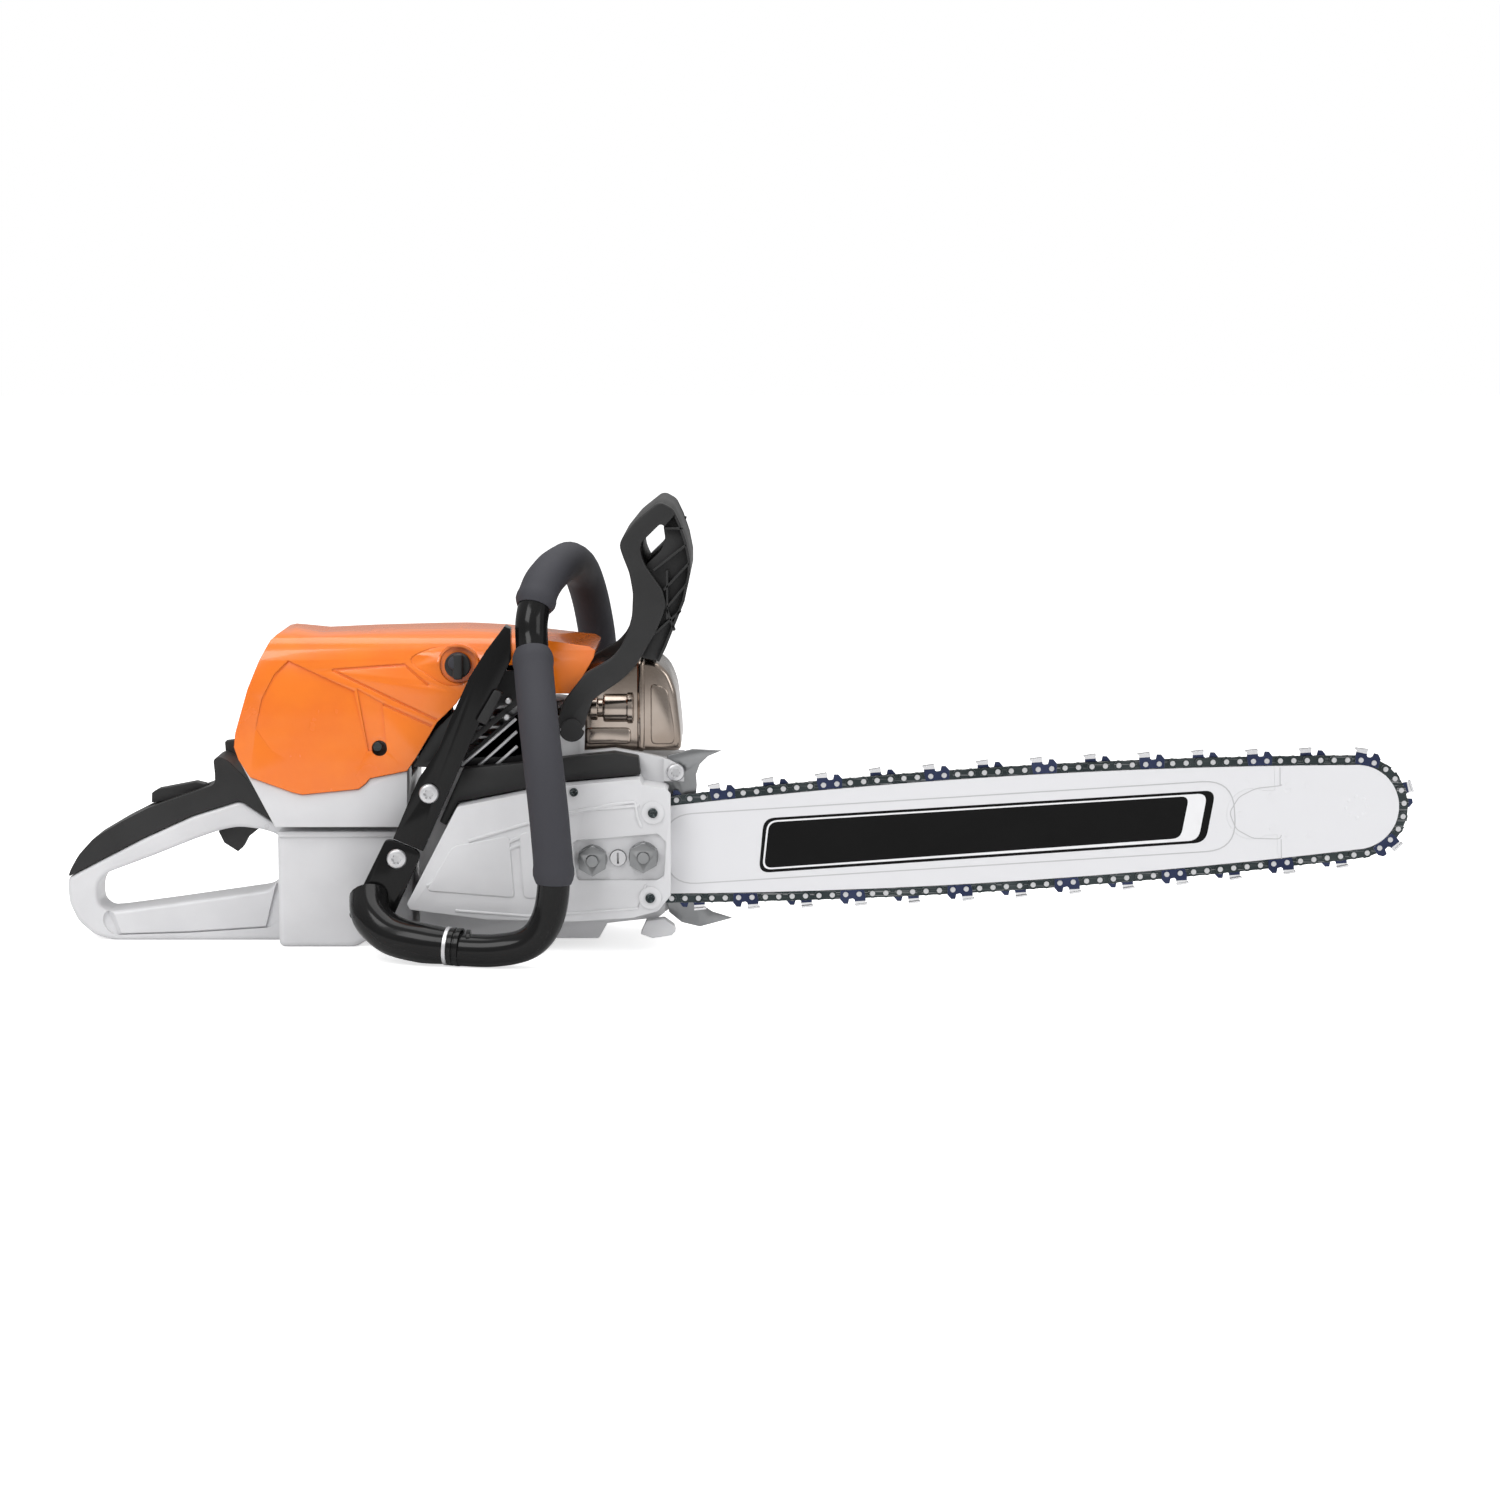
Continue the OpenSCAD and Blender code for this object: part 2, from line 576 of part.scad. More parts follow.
// Dark plate along the top of the sprocket cover
module side_plate() color("dimgray") side(cover_face + 18, case_right) polygon([[-25, 132], [13, 135.4],
    [60, 141.2], [82, 143.4], [99, 140.2], [100.5, 127.6], [46, 122.8], [-28.6, 108.2], [-37.4, 91.4],
    [-42, 94]]);

// ---------------------------------------------------------------- silencer

muffler_x = [57, 129];
muffler_z = [141, 206];
module muffler() color("rosybrown") difference() {
    union() {
        intersection() {
            side(-42, 46) soft(8) polygon([[muffler_x[0], muffler_z[0]], [muffler_x[1], muffler_z[0]],
                [muffler_x[1] - 1, 158], [muffler_x[1] - 4, 184], [120, 197], [111, 205], [98, muffler_z[1]],
                [66, 200], [muffler_x[0], 192]]);
            front(muffler_x[0], muffler_x[1]) soft(10) polygon([[-42, muffler_z[0]], [46, muffler_z[0]],
                [46, muffler_z[1]], [-42, muffler_z[1]]]);
        }
        across(78, 172, 13, -47, 0);
        across(78, 172, 9, -52, -40);
        intersection() {
            side(-43.2, 47.2) polygon([[97, 140.2], [104, 140.2], [104, 207], [97, 207]]);
            front(90, 110) soft(10) polygon([[-43.2, 140.2], [47.2, 140.2], [47.2, 207], [-43.2, 207]]);
        }
    }
    along(0, exhaust_z, 12, muffler_x[0] - 1, 70);
    block([muffler_x[0] + 3, -38, 144], [muffler_x[1] - 7, 42, 192]);
    across(78, 172, 6, -60, -30);
}

// ---------------------------------------------------------------- chain side

// Outline of the sprocket cover
module cover_outline() polygon([[-28, 107], [46, 121.8], [100, 126.6], [102.5, 122.4], [118.5, 120],
    [122, 116.5], [122, 44], [113, 33], [95, 28], [54, 25.5], [-8, 27], [-62, 34], [-64, 38], [-38, 88]]);

tension_at = bar_point(74, 0);
pads = [[109.5, 103], [107.5, 42.5]];
module sprocket_cover() color("gainsboro") difference() {
    union() {
        difference() {
            side(cover_face, case_right) soft(2.5) cover_outline();
            side(cover_face + wall, case_right + 1) offset(delta = -wall) cover_outline();
            side(cover_face + wall, case_right + 1) polygon([[96, 36], [140, 36], [140, 118.2], [96, 118.2]]);
            block([70, bar_y - 9, 0], [140, case_right + 1, 60]);
        }
        in_bar() translate([0, 0, bar_t / 2]) linear_extrude(bar_y - cover_face - bar_t / 2 - 1)
            polygon([[47, -14], [47, 14], [108, 14], [108, -14]]);
        for (p = pads) across(p[0], p[1], 8, cover_face - 1.5, cover_face + 5);
        for (p = [[[-50, 50], [44, 92]], [[-44, 56], [46, 99]]]) side(cover_face - 1, cover_face + 1)
            polygon([p[0], p[0] + [0, 2.2], p[1] + [0, 2.2], p[1]]);
        side(cover_face - 1, cover_face + 1) polygon([[62, 104], [100, 107], [100, 109.4], [62, 106.4]]);
    }
    side(cover_face - 5, cover_face + 2.6) soft(3) polygon([[53, 83], [113, 88], [118.8, 82], [117.3, 58],
        [112, 55], [56, 55]]);
    for (i = [0, 1]) across(stud(i)[0], stud(i)[1], 4, cover_face - 10, case_right);
    across(tension_at[0], tension_at[1], 5.5 + gap, cover_face - 5, bar_y - 8);
    across(tension_at[0], tension_at[1] - 8, 8, bar_y - 8.2, bar_y);
    for (p = pads) across(p[0], p[1], 2.2, cover_face - 5, cover_face + 2);
    on_crank(10, bar_y - 14, bar_y);
}

module bar_studs() color("silver") for (i = [0, 1]) {
    across(stud(i)[0], stud(i)[1], 4, cover_face - 8, case_right + 12);
}

module bar_nuts() color("silver") for (i = [0, 1]) difference() {
    union() {
        translate([stud(i)[0], cover_face + 2.6, stud(i)[1]]) rotate([90, 30, 0])
            cylinder(r = 19 / sqrt(3), h = 9, $fn = 6);
        across(stud(i)[0], stud(i)[1], 11.6, cover_face + 0.8, cover_face + 2.6);
    }
    across(stud(i)[0], stud(i)[1], 4, cover_face - 20, cover_face + 10);
}

module tensioner_screw() color("silver") difference() {
    across(tension_at[0], tension_at[1], 5.5, cover_face + 0.5, bar_y - 8.5);
    translate([tension_at[0], cover_face + 3, tension_at[1]]) rotate([90, 0, 0])
        cube([1.4, 8, 8], center = true);
}

// Block with the peg that pushes the bar forward
peg_v = -9.5;
peg_at = bar_point(74, peg_v);
module tensioner_slide() color("slategray") {
    across(peg_at[0], peg_at[1], 2.9, bar_y - 6, bar_y + 1.5);
    across(peg_at[0], peg_at[1], 5.5, bar_y - 8, bar_y - bar_t / 2 - 0.2);
}

// ---------------------------------------------------------------- guide bar

joint_u = bar_centres - 57;
neck_u = bar_centres - 74;
// Half height of the bar at a place along it
function half(u) = let (t = (u - tail_u) / (bar_centres - tail_u))
    tail_half + (nose_r - tail_half) * t + belly * 4 * t * (1 - t);
bar_edge = [for (k = [0:14]) tail_u + 20 + (bar_centres - tail_u - 20) * k / 14];

// The bar's outline, drawn smaller all round by an inset
module bar_outline(inset) {
    polygon(concat([[tail_u + inset, -tail_half + 12 + inset], [tail_u + inset, tail_half - 12 - inset]],
        [for (u = bar_edge) [u, half(u) - inset]],
        [for (k = [14:-1:0]) [bar_edge[k], -half(bar_edge[k]) + inset]]));
    translate([bar_centres, 0]) circle(nose_r - inset);
}

// The part of the outline that the nose piece takes, with its round neck
module nose_region(extra) {
    translate([joint_u - extra, -60]) square([200, 120]);
    translate([neck_u, 0]) circle(18 + extra);
    translate([neck_u, -16 - extra]) square([joint_u - neck_u + 5, 32 + 2 * extra]);
}

groove_t = gauge + 0.3;
module guide_bar() color("whitesmoke") in_bar() difference() {
    translate([0, 0, -bar_t / 2]) linear_extrude(bar_t) difference() {
        bar_outline(0);
        nose_region(0.1);
        translate([stud_u[0] - 6, -4.3]) square([stud_u[1] - stud_u[0] + 12, 8.6]);
        translate([74, peg_v]) circle(3.1);
        translate([74, -peg_v]) circle(3.1);
        translate([52, 15]) circle(2);
        translate([52, -15]) circle(2);
    }
    translate([0, 0, -groove_t / 2]) linear_extrude(groove_t) difference() {
        bar_outline(-2);
        bar_outline(7);
    }
}

// Riveted nose: two plates with the sprocket between them
nose_rivets = [[-82, 0], [-60, 11.5], [-60, -11.5], [-48, 18.7], [-48, -18.7], [-33.5, 17.3], [-33.5, -17.3]];
module bar_nose() color("whitesmoke") in_bar() {
    difference() {
        translate([0, 0, -bar_t / 2]) linear_extrude(bar_t) intersection() {
            bar_outline(0);
            nose_region(0);
        }
        translate([bar_centres, 0, -groove_t / 2]) cylinder(r = nose_r + 3, h = groove_t);
        translate([0, 0, -groove_t / 2]) linear_extrude(groove_t) difference() {
            bar_outline(-2);
            bar_outline(7);
        }
    }
    for (p = nose_rivets) translate([bar_centres + p[0], p[1], -bar_t / 2 - 0.3])
        cylinder(r = 2.2, h = bar_t + 0.6);
    translate([bar_centres, 0, -groove_t / 2]) cylinder(r = 8, h = groove_t);
}

sprocket_r = nose_pitch_r - tang_l - 0.6;
module nose_sprocket() color("silver") in_bar() translate([bar_centres, 0, -gauge / 2]) linear_extrude(gauge)
    difference() {
        circle(sprocket_r);
        circle(8 + fit);
        for (k = [0:nose_teeth - 1]) rotate(k * 360 / nose_teeth) translate([sprocket_r + 0.6, 0]) circle(3);
    }

// ---------------------------------------------------------------- chain

// The chain's line in the bar's frame, in the order in which it runs: out along the top, round the nose,
// back along the bottom, and round the drive sprocket
lead_angle = 10;
run_u = [for (k = [0:24]) 60 + (bar_centres - 62) * k / 24];
chain_line = concat([for (u = run_u) [u, half(u) + strap_seat]],
    [for (a = [85:-5:-85]) [bar_centres + nose_pitch_r * cos(a), nose_pitch_r * sin(a)]],
    [for (k = [24:-1:0]) [run_u[k], -half(run_u[k]) - strap_seat]],
    [for (a = [-90 - lead_angle:-5:-270 + lead_angle]) [drive_r * cos(a), drive_r * sin(a)]]);
line_n = len(chain_line);
line_s = [for (i = 0, s = 0; i <= line_n; s = s + norm(chain_line[(i + 1) % line_n] - chain_line[i % line_n]),
    i = i + 1) s];
links = round(line_s[line_n] / rivet_pitch / 2);
step = line_s[line_n] / links / 2;
table_u = [for (i = [0:line_n]) [line_s[i], chain_line[i % line_n][0]]];
table_v = [for (i = [0:line_n]) [line_s[i], chain_line[i % line_n][1]]];
function rivet(k) = let (s = (k % (2 * links)) * step) [lookup(s, table_u), lookup(s, table_v)];

// A link's own frame: x from its first rivet to its second, y outwards from the loop
module on_link(k) {
    a = rivet(k);
    b = rivet(k + 1);
    in_bar() translate(a) rotate(atan2(b[1] - a[1], b[0] - a[0])) children();
}

module rivet_holes() for (x = [0, step]) translate([x, 0]) circle(rivet_r, $fn = 24);

module drive_links() color("slategray") for (k = [0:links - 1]) on_link(2 * k)
    translate([0, 0, -gauge / 2]) linear_extrude(gauge) difference() {
        union() {
            translate([-3.4, -3]) square([step + 6.8, 6.2]);
            polygon([[-2.6, -2.9], [step + 2.6, -2.9], [step - 0.6, -tang_l + 1], [step - 2.6, -tang_l],
                [2.2, -tang_l + 1.2]]);
        }
        rivet_holes();
    }

// A plain side strap; side is -1 for the left of the chain and 1 for the right
module strap(k, s) on_link(2 * k + 1) translate([0, 0, s > 0 ? gauge / 2 : -gauge / 2 - strap_t])
    linear_extrude(strap_t) difference() {
        union() {
            for (x = [0, step]) translate([x, 0]) circle(strap_foot + 0.25, $fn = 24);
            translate([-1, -strap_foot]) square([step + 2, 6]);
        }
        rivet_holes();
    }

// Every fourth strap is a cutter on the right, and the one two further on is a cutter on the left
module tie_straps() color("darkslategray") for (k = [0:links - 1]) for (s = [-1, 1])
    if (k % 4 != 1 - s) strap(k, s);

module cutter(k, s) on_link(2 * k + 1) {
    translate([0, 0, s > 0 ? gauge / 2 : -gauge / 2 - strap_t]) linear_extrude(strap_t) difference() {
        polygon([[-3.6, -strap_foot], [step + 3.6, -strap_foot], [step + 4, 3.5], [step + 1.6, 6.6],
            [step - 1.4, 6.8], [step - 2.4, 3.4], [step - 5, 3], [step - 6.2, 4], [step - 6.4, chain_top],
            [-4.4, chain_top - 0.8], [-4.6, 2]]);
        rivet_holes();
    }
    translate([step - 6.4, chain_top, s * (gauge / 2 + strap_t + 1.2)]) rotate([s > 0 ? 0 : 180, 0, 0])
        translate([-8.6, s > 0 ? -1.5 : 0, -5.2]) rotate([0, 0, s > 0 ? 5 : -5]) cube([8.6, 1.3, 5.2]);
}
module cutters() color("midnightblue") for (k = [0:links - 1]) {
    if (k % 4 == 0) cutter(k, 1);
    if (k % 4 == 2) cutter(k, -1);
}

// A little slack round each rivet lets the links bend round the sprockets
rivet_gap = 0.1;
rivet_half = gauge / 2 + strap_t + 0.5;
module chain_rivets() color("silver") for (k = [0:2 * links - 1]) in_bar() translate(rivet(k))
    translate([0, 0, -rivet_half]) cylinder(r = rivet_r - rivet_gap, h = 2 * rivet_half, $fn = 24);

module bumper_spike() color("silver") side(case_right + 0.1, case_right + 3.1) difference() {
    polygon([[118, 126], [119, 139.5], [137, 144], [157.5, 143], [148, 139], [142, 133], [139.5, 126],
        [140, 118], [138, 96], [137, 60], [139, 40], [142, 33], [151, 27], [165, 22.6], [142, 16.4],
        [129, 19.6], [120, 27], [118, 40]]);
    translate(spike_screw) circle(2.8);
}

module chain_catcher() color("gainsboro") side(bar_y - 6, case_right - 0.1) polygon([[100, 13], [108.5, 10],
    [122, 12], [125, 15], [124, 19], [117, 24], [104, 22.5]]);

// ---------------------------------------------------------------- hand guard

module guard_arm() {
    translate(pivot_at) circle(9);
    polygon([[43, 160], [43.5, 172], [46.4, 181], [61, 199], [91, 233], [95.5, 253], [118, 246], [107, 217],
        [96, 200], [75.5, 185], [63, 174], [61, 160]]);
}

module guard_blade() difference() {
    polygon([[91, 240], [95.5, 253], [93.6, 263], [90, 274], [85.5, 285], [85.4, 289], [86.6, 293],
        [99, 308.6],
        [110, 318.6], [113, 320], [117, 319.2], [122.5, 316], [126, 311.5], [132, 297], [135.7, 280],
        [135.7, 271], [132.4, 256], [127, 240]]);
    soft(1.5) polygon([[114, 306], [119, 296], [118.6, 290], [104.4, 272], [100, 282], [100.6, 289]]);
}

// Cells between the crossed stiffening ribs of the guard
module guard_cells() difference() {
    polygon([[99, 243], [99.2, 253], [97.4, 263], [104, 267], [121, 286], [130.5, 282], [131.2, 271],
        [128, 256], [124.6, 243]]);
    for (p = [[96, 266, -32], [96, 240, 40], [112, 240, 66]]) translate([p[0], p[1]]) rotate(p[2])
        translate([0, -1.2]) square([60, 2.4]);
}

guard_y = hw + 2;
module hand_guard() color("dimgray") difference() {
    union() {
        for (s = [-1, 1]) side(min(s * guard_y, s * (guard_y + 8)), max(s * guard_y, s * (guard_y + 8)))
            guard_arm();
        side(-guard_y - 8, guard_y + 8) guard_blade();
    }
    for (s = [-1, 1]) {
        side(min(s * 3, s * hw * 2), max(s * 3, s * hw * 2)) guard_cells();
        across(pivot_at[0], pivot_at[1], 4 + fit, s * hw - 30, s * hw + 30);
    }
}

// ---------------------------------------------------------------- front handle

function unit(v) = v / norm(v);
// A smooth curve through a list of places, at place t counted in list steps
function curve(p, t) = let (n = len(p) - 1, i = min(floor(t), n - 1), f = t - i,
    a = p[max(i - 1, 0)], b = p[i], c = p[i + 1], d = p[min(i + 2, n)])
    0.5 * (2 * b + f * (c - a) + f * f * (2 * a - 5 * b + 4 * c - d) + f * f * f * (3 * b - a - 3 * c + d));
// Rings along a route: each holds its centre and the two directions across the tube
function route_rings(p, per) = let (n = (len(p) - 1) * per, c = [for (i = [0:n]) curve(p, i / per)],
    t = [for (i = [0:n]) unit(c[min(i + 1, n)] - c[max(i - 1, 0)])])
    [for (i = 0, a = unit(cross(t[0], [0.3, 0.2, 0.9])); i <= n; a = i < n ?
        unit(a - t[i + 1] * (a * t[i + 1])) : a, i = i + 1) [c[i], a, cross(t[i], a)]];

// A tube along rings: outer radius, inner radius (0 for a solid bar) and number of sides
module sweep(rings, r, r_in, sides) {
    n = len(rings);
    m = r_in > 0 ? 2 : 1;
    pts = [for (q = [0:m - 1]) for (g = rings) for (k = [0:sides - 1])
        g[0] + (q == 0 ? r : r_in) * (cos(k * 360 / sides) * g[1] + sin(k * 360 / sides) * g[2])];
    function at(q, i, k) = (q * n + i) * sides + k % sides;
    skin = [for (q = [0:m - 1]) for (i = [0:n - 2]) for (k = [0:sides - 1]) for (h = [0, 1])
        let (f = h == 0 ? [at(q, i, k), at(q, i, k + 1), at(q, i + 1, k + 1)] :
            [at(q, i, k), at(q, i + 1, k + 1), at(q, i + 1, k)]) q == 0 ? [f[2], f[1], f[0]] : f];
    ends = m == 1 ? [[for (k = [0:sides - 1]) at(0, 0, k)], [for (k = [sides - 1:-1:0]) at(0, n - 1, k)]] :
        [for (e = [0, 1]) for (k = [0:sides - 1]) let (i = e * (n - 1),
            f = [at(0, i, k), at(0, i, k + 1), at(1, i, k + 1), at(1, i, k)]) e == 0 ? f :
            [f[3], f[2], f[1], f[0]]];
    polyhedron(pts, concat(skin, ends), convexity = 8);
}

// Places that the handle tube passes through, from its foot on the left, over the top, and round the right
tube_low = tube_r + 0.5;
tube_route = [[boss_at[0], hw - 5.2, boss_at[1]], [boss_at[0], hw + 10, boss_at[1]], [-68, hw + 28, 16],
    [-45, hw + 40, 22], [0, hw + leg_out, 46], [38, hw + leg_out, 90], [59, hw + 40, 145],
    [64, hw + 39, 195], [60, hw + 35, 232], [53, hw + 18, 260], [47, 40, 271], [43, 0, 272],
    [37, -40, 269], [30, -hw - 1, 259], [25, -hw - 15, 240], [25, -hw - 21, 222], [28, -hw - 38, 194],
    [32, -hw - 57, 164], [36, -hw - 69, 134], [40, -hw - 74, 96], [42, -hw - wrap_out, 60],
    [37, -hw - 74, 34], [24, -hw - 72, tube_low + 6], [0, -hw - 68, tube_low], [-30, -hw - 62, tube_low]];
per = 3;
tube_rings = route_rings(tube_route, per);
function slice(list, a, b) = [for (i = [a:b]) list[i]];

module handle_tube() color("black") sweep(tube_rings, tube_r, tube_r - tube_wall, 12);

// Rubber sleeves over the top of the handle and down the wrap
module grip_sleeves() color("dimgray") for (q = [[6 * per, 13.67 * per], [15.34 * per, 20 * per]])
    sweep(slice(tube_rings, round(q[0]), round(q[1])), tube_r + 0.2 + sleeve_t, tube_r + 0.2, 12);

// Sloping strap from the tank bracket up to the tube, a channel open to the inside
strap_y = [-hw - 24, -hw - 7];
module strap_outline() polygon([[-73.6, 84], [-55, 127], [-41, 147], [-33, 167], [-19, 198], [-7, 217],
    [6, 234], [10, 232], [10.5, 211], [1, 191.5], [-13, 164], [-30.5, 125], [-52.6, 75]]);
module handle_strap() color("dimgray") difference() {
    side(strap_y[0], strap_y[1]) strap_outline();
    side(strap_y[0] + 3, strap_y[1] + 1) offset(delta = -3) strap_outline();
    across(-48, 116, 2.94, strap_y[0] - 1, strap_y[0] + 10);
}

elbow_route = [[-31, -hw - 62, tube_low + 1.5], [-52, -hw - 57, tube_low + 3.5],
    [-74, -hw - 48, tube_low + 8], [-88, -hw - 37, 31], [-91, -hw - 22, 44]];
module bracket_outline() polygon([[-106, 29], [-100, 24], [-76, 24], [-53, 74.5], [-74, 83.3], [-79, 83.3]]);
module handle_bracket() color("dimgray") difference() {
    union() {
        sweep(route_rings(elbow_route, 4), tube_r + 1.5, 0, 12);
        side(-hw - 26, -hw - 20) bracket_outline();
        side(-hw - 21, -th - 2.1) polygon([[-98, 34], [-80, 34], [-64, 70], [-74, 76], [-80, 76]]);
    }
    across(-71, 70, 2.94, -hw - 30, -hw - 15);
}

// ---------------------------------------------------------------- left side

rope_x = crank_x - rope_r;
pulley_y = fan_left - 13;
module fan_outline() polygon([[-40, 0], [60, 0], [78, 18], [82, 60], [76, 98], [50, 122], [36, 147],
    [-26, 147], [-40, 118], [-48, 84], [-46, 14]]);

module fan_housing() color("gainsboro") difference() {
    union() {
        difference() {
            side(case_left + 0.1, fan_left) soft(5) fan_outline();
            side(case_left, fan_left - wall) offset(delta = -wall) fan_outline();
        }
        on_crank(10, fan_left - 18, fan_left - 1);
    }
    for (k = [0:17]) translate([crank_x, 0, crank_z]) rotate([0, k * 20, 0])
        block([16, fan_left - 5, -2.2], [40, fan_left + 1, 2.2]);
    translate([rope_x, pulley_y, 100]) cylinder(r = 3.5, h = 60);
    across(oil_cap_at[0], oil_cap_at[1], 22, case_left, fan_left + 1);
    translate([crank_x, coil_y, 140]) cylinder(r = 5.2, h = 20);
    on_crank(4, fan_left - 20, fan_left - 4);
}

// The starter pulley, with its rope on the rear side
module starter_pulley() color("dimgray") difference() {
    union() {
        on_crank(rope_r + 4, pulley_y - 5, pulley_y - 2.5);
        on_crank(rope_r + 4, pulley_y + 2.5, pulley_y + 4);
        on_crank(rope_r - 2.3, pulley_y - 5, pulley_y + 4);
    }
    on_crank(10 + fit, pulley_y - 10, pulley_y + 10);
}

grip_z = 147.6;
module starter_grip() color("dimgray") translate([rope_x, pulley_y, grip_z]) difference() {
    union() {
        cylinder(r = 7, h = 14);
        translate([0, 0, 17]) rotate([0, 90, 0]) translate([0, 0, -3.6]) cylinder(r = 7.5, h = 38);
    }
    translate([0, 0, -1]) cylinder(r = 2, h = 12);
}

module starter_rope() color("black") translate([rope_x, pulley_y, crank_z])
    cylinder(r = 1.9, h = grip_z + 10 - crank_z);

// A tank cap with a fold-down tab, seated in its filler neck
module cap(at, r, y) color("dimgray") translate([at[0], y, at[1]]) rotate([-90, 0, 0]) {
    translate([0, 0, -8]) cylinder(r = r - fit, h = 8.2);
    translate([0, 0, 0.2]) cylinder(r = r + 3, h = 5);
    translate([-r, -1.5, 5.1]) cube([2 * r, 3, 6]);
}
module fuel_cap() cap(fuel_cap_at, 17, th + 3);
module oil_cap() cap(oil_cap_at, 15, case_left);

module torx_screws() color("silver") {
    screw(-48, 116, strap_y[0]);
    screw(-71, 70, -hw - 26);
    screw(spike_screw[0], spike_screw[1], bar_y + 2.4, 6.4);
    for (p = pads) across(p[0], p[1], 2, cover_face - 1, cover_face + 2);
    across(-171, 83.5, 2.4, -handle_w / 2 - 0.1, -handle_w / 2 + 2);
}

place() tank_housing();
place() handle_moulding();
place() throttle_trigger();
place() throttle_lockout();
place() pivot_pins();
place() control_lever();
place() airbox_base();
place() top_cover();
place() cover_locks_seat();
place() cover_lock_right();
place() cover_lock_left();
place() air_filter();
place() carburettor();
place() intake_boot();
place() engine_cylinder();
place() spark_plug();
place() plug_cap();
place() ignition_lead();
place() ignition_coil();
place() piston();
place() connecting_rod();
place() crank_pin();
place() crankshaft();
place() crank_bearings();
place() flywheel();
place() clutch_hub();
place() clutch_shoes();
place() clutch_drum();
place() brake_band();
place() oil_pump();
place() crankcase();
place() side_grille();
place() side_plate();
place() muffler();
place() sprocket_cover();
place() bar_studs();
place() bar_nuts();
place() tensioner_screw();
place() tensioner_slide();
place() guide_bar();
place() bar_nose();
place() nose_sprocket();
place() drive_links();
place() tie_straps();
place() cutters();
place() chain_rivets();
place() bumper_spike();
place() chain_catcher();
place() hand_guard();
place() handle_tube();
place() grip_sleeves();
place() handle_strap();
place() handle_bracket();
place() fan_housing();
place() starter_pulley();
place() starter_grip();
place() starter_rope();
place() fuel_cap();
place() oil_cap();
place() torx_screws();
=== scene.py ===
"""A petrol chainsaw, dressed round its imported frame.

Every piece stands in the frame of the CAD model, in metres. Outlines are given in the drawing's own
millimetres: x forward, y to the left and z up, with the crankshaft's axis at x 11 and z 66.
"""

import json
import logging
from dataclasses import dataclass, field
from enum import Enum
from math import cos, hypot, pi, radians, sin

import bmesh
import bpy
from mathutils import Matrix, Vector
from mathutils.bvhtree import BVHTree


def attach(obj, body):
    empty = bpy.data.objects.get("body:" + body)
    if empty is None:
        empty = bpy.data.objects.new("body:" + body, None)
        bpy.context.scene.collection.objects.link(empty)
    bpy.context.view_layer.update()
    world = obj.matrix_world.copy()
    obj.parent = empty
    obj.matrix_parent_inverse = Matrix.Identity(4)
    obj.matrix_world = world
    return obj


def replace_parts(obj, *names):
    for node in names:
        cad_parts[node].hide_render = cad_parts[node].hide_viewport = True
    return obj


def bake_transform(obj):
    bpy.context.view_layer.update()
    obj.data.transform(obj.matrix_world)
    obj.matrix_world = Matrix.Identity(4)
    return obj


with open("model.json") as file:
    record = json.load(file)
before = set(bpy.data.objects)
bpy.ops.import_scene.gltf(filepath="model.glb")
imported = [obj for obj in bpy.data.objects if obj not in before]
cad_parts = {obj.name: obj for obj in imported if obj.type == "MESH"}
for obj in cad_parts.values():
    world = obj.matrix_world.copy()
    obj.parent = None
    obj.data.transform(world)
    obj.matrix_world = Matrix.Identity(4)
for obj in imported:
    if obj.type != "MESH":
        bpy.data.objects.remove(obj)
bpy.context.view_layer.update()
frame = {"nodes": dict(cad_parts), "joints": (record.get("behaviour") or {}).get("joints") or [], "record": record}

log = logging.getLogger("chainsaw")

Point = tuple[float, float]
Place = tuple[float, float, float]

# The crankshaft's axis, in millimetres of the drawing
CRANK_X = 11.0
CRANK_Z = 66.0
CRANK_DRAWN = Vector((CRANK_X, 0.0, CRANK_Z))


def joint_place(name: str) -> Vector:
    """Gives the place of a joint in the frame, in metres."""
    return Vector(next(j["pos_m"] for j in frame["joints"] if j["name"] == name))


ORIGIN = joint_place("crank_spin") - CRANK_DRAWN / 1000


def at(x: float, y: float, z: float) -> Vector:
    """Turns a place of the drawing, in millimetres, into a place of the frame, in metres."""
    return ORIGIN + Vector((x, y, z)) / 1000


# Sizes of the machine that several pieces share, in millimetres of the drawing
HALF_COVER = 60.0
HALF_TANK = 48.0
HALF_HANDLE = 19.0
TUBE_R = 11.5
BAR_Y = -62.0
COVER_FACE = -88.0
FAN_LEFT = 84.0
CASE_LEFT = 40.0

# The guide bar: its tilt in degrees, and the distance from the crankshaft to the centre of its nose
BAR_TILT = 3.6
BAR_REACH = 598.0

# A pocket's cutter, in millimetres from the middle: its inner and outer end, a place between them,
# and the place from which the surface under it is looked for
CUT_INNER = 30
CUT_OUTER = 66
CUT_MIDDLE = 50
LOOK_FROM = 110


class Side(Enum):
    """Right or left of the machine."""

    RIGHT = -1
    LEFT = 1

    @property
    def label(self) -> str:
        """The side's name as it stands in the names of pieces."""
        return self.name.lower()

    @property
    def out(self) -> Vector:
        """The direction that points out of this side."""
        return Vector((0, self.value, 0))

    def span(self, inner: float, outer: float) -> tuple[float, float]:
        """Gives two distances from the middle as places on this side, the lower one first."""
        low, high = sorted((self.value * inner, self.value * outer))
        return low, high


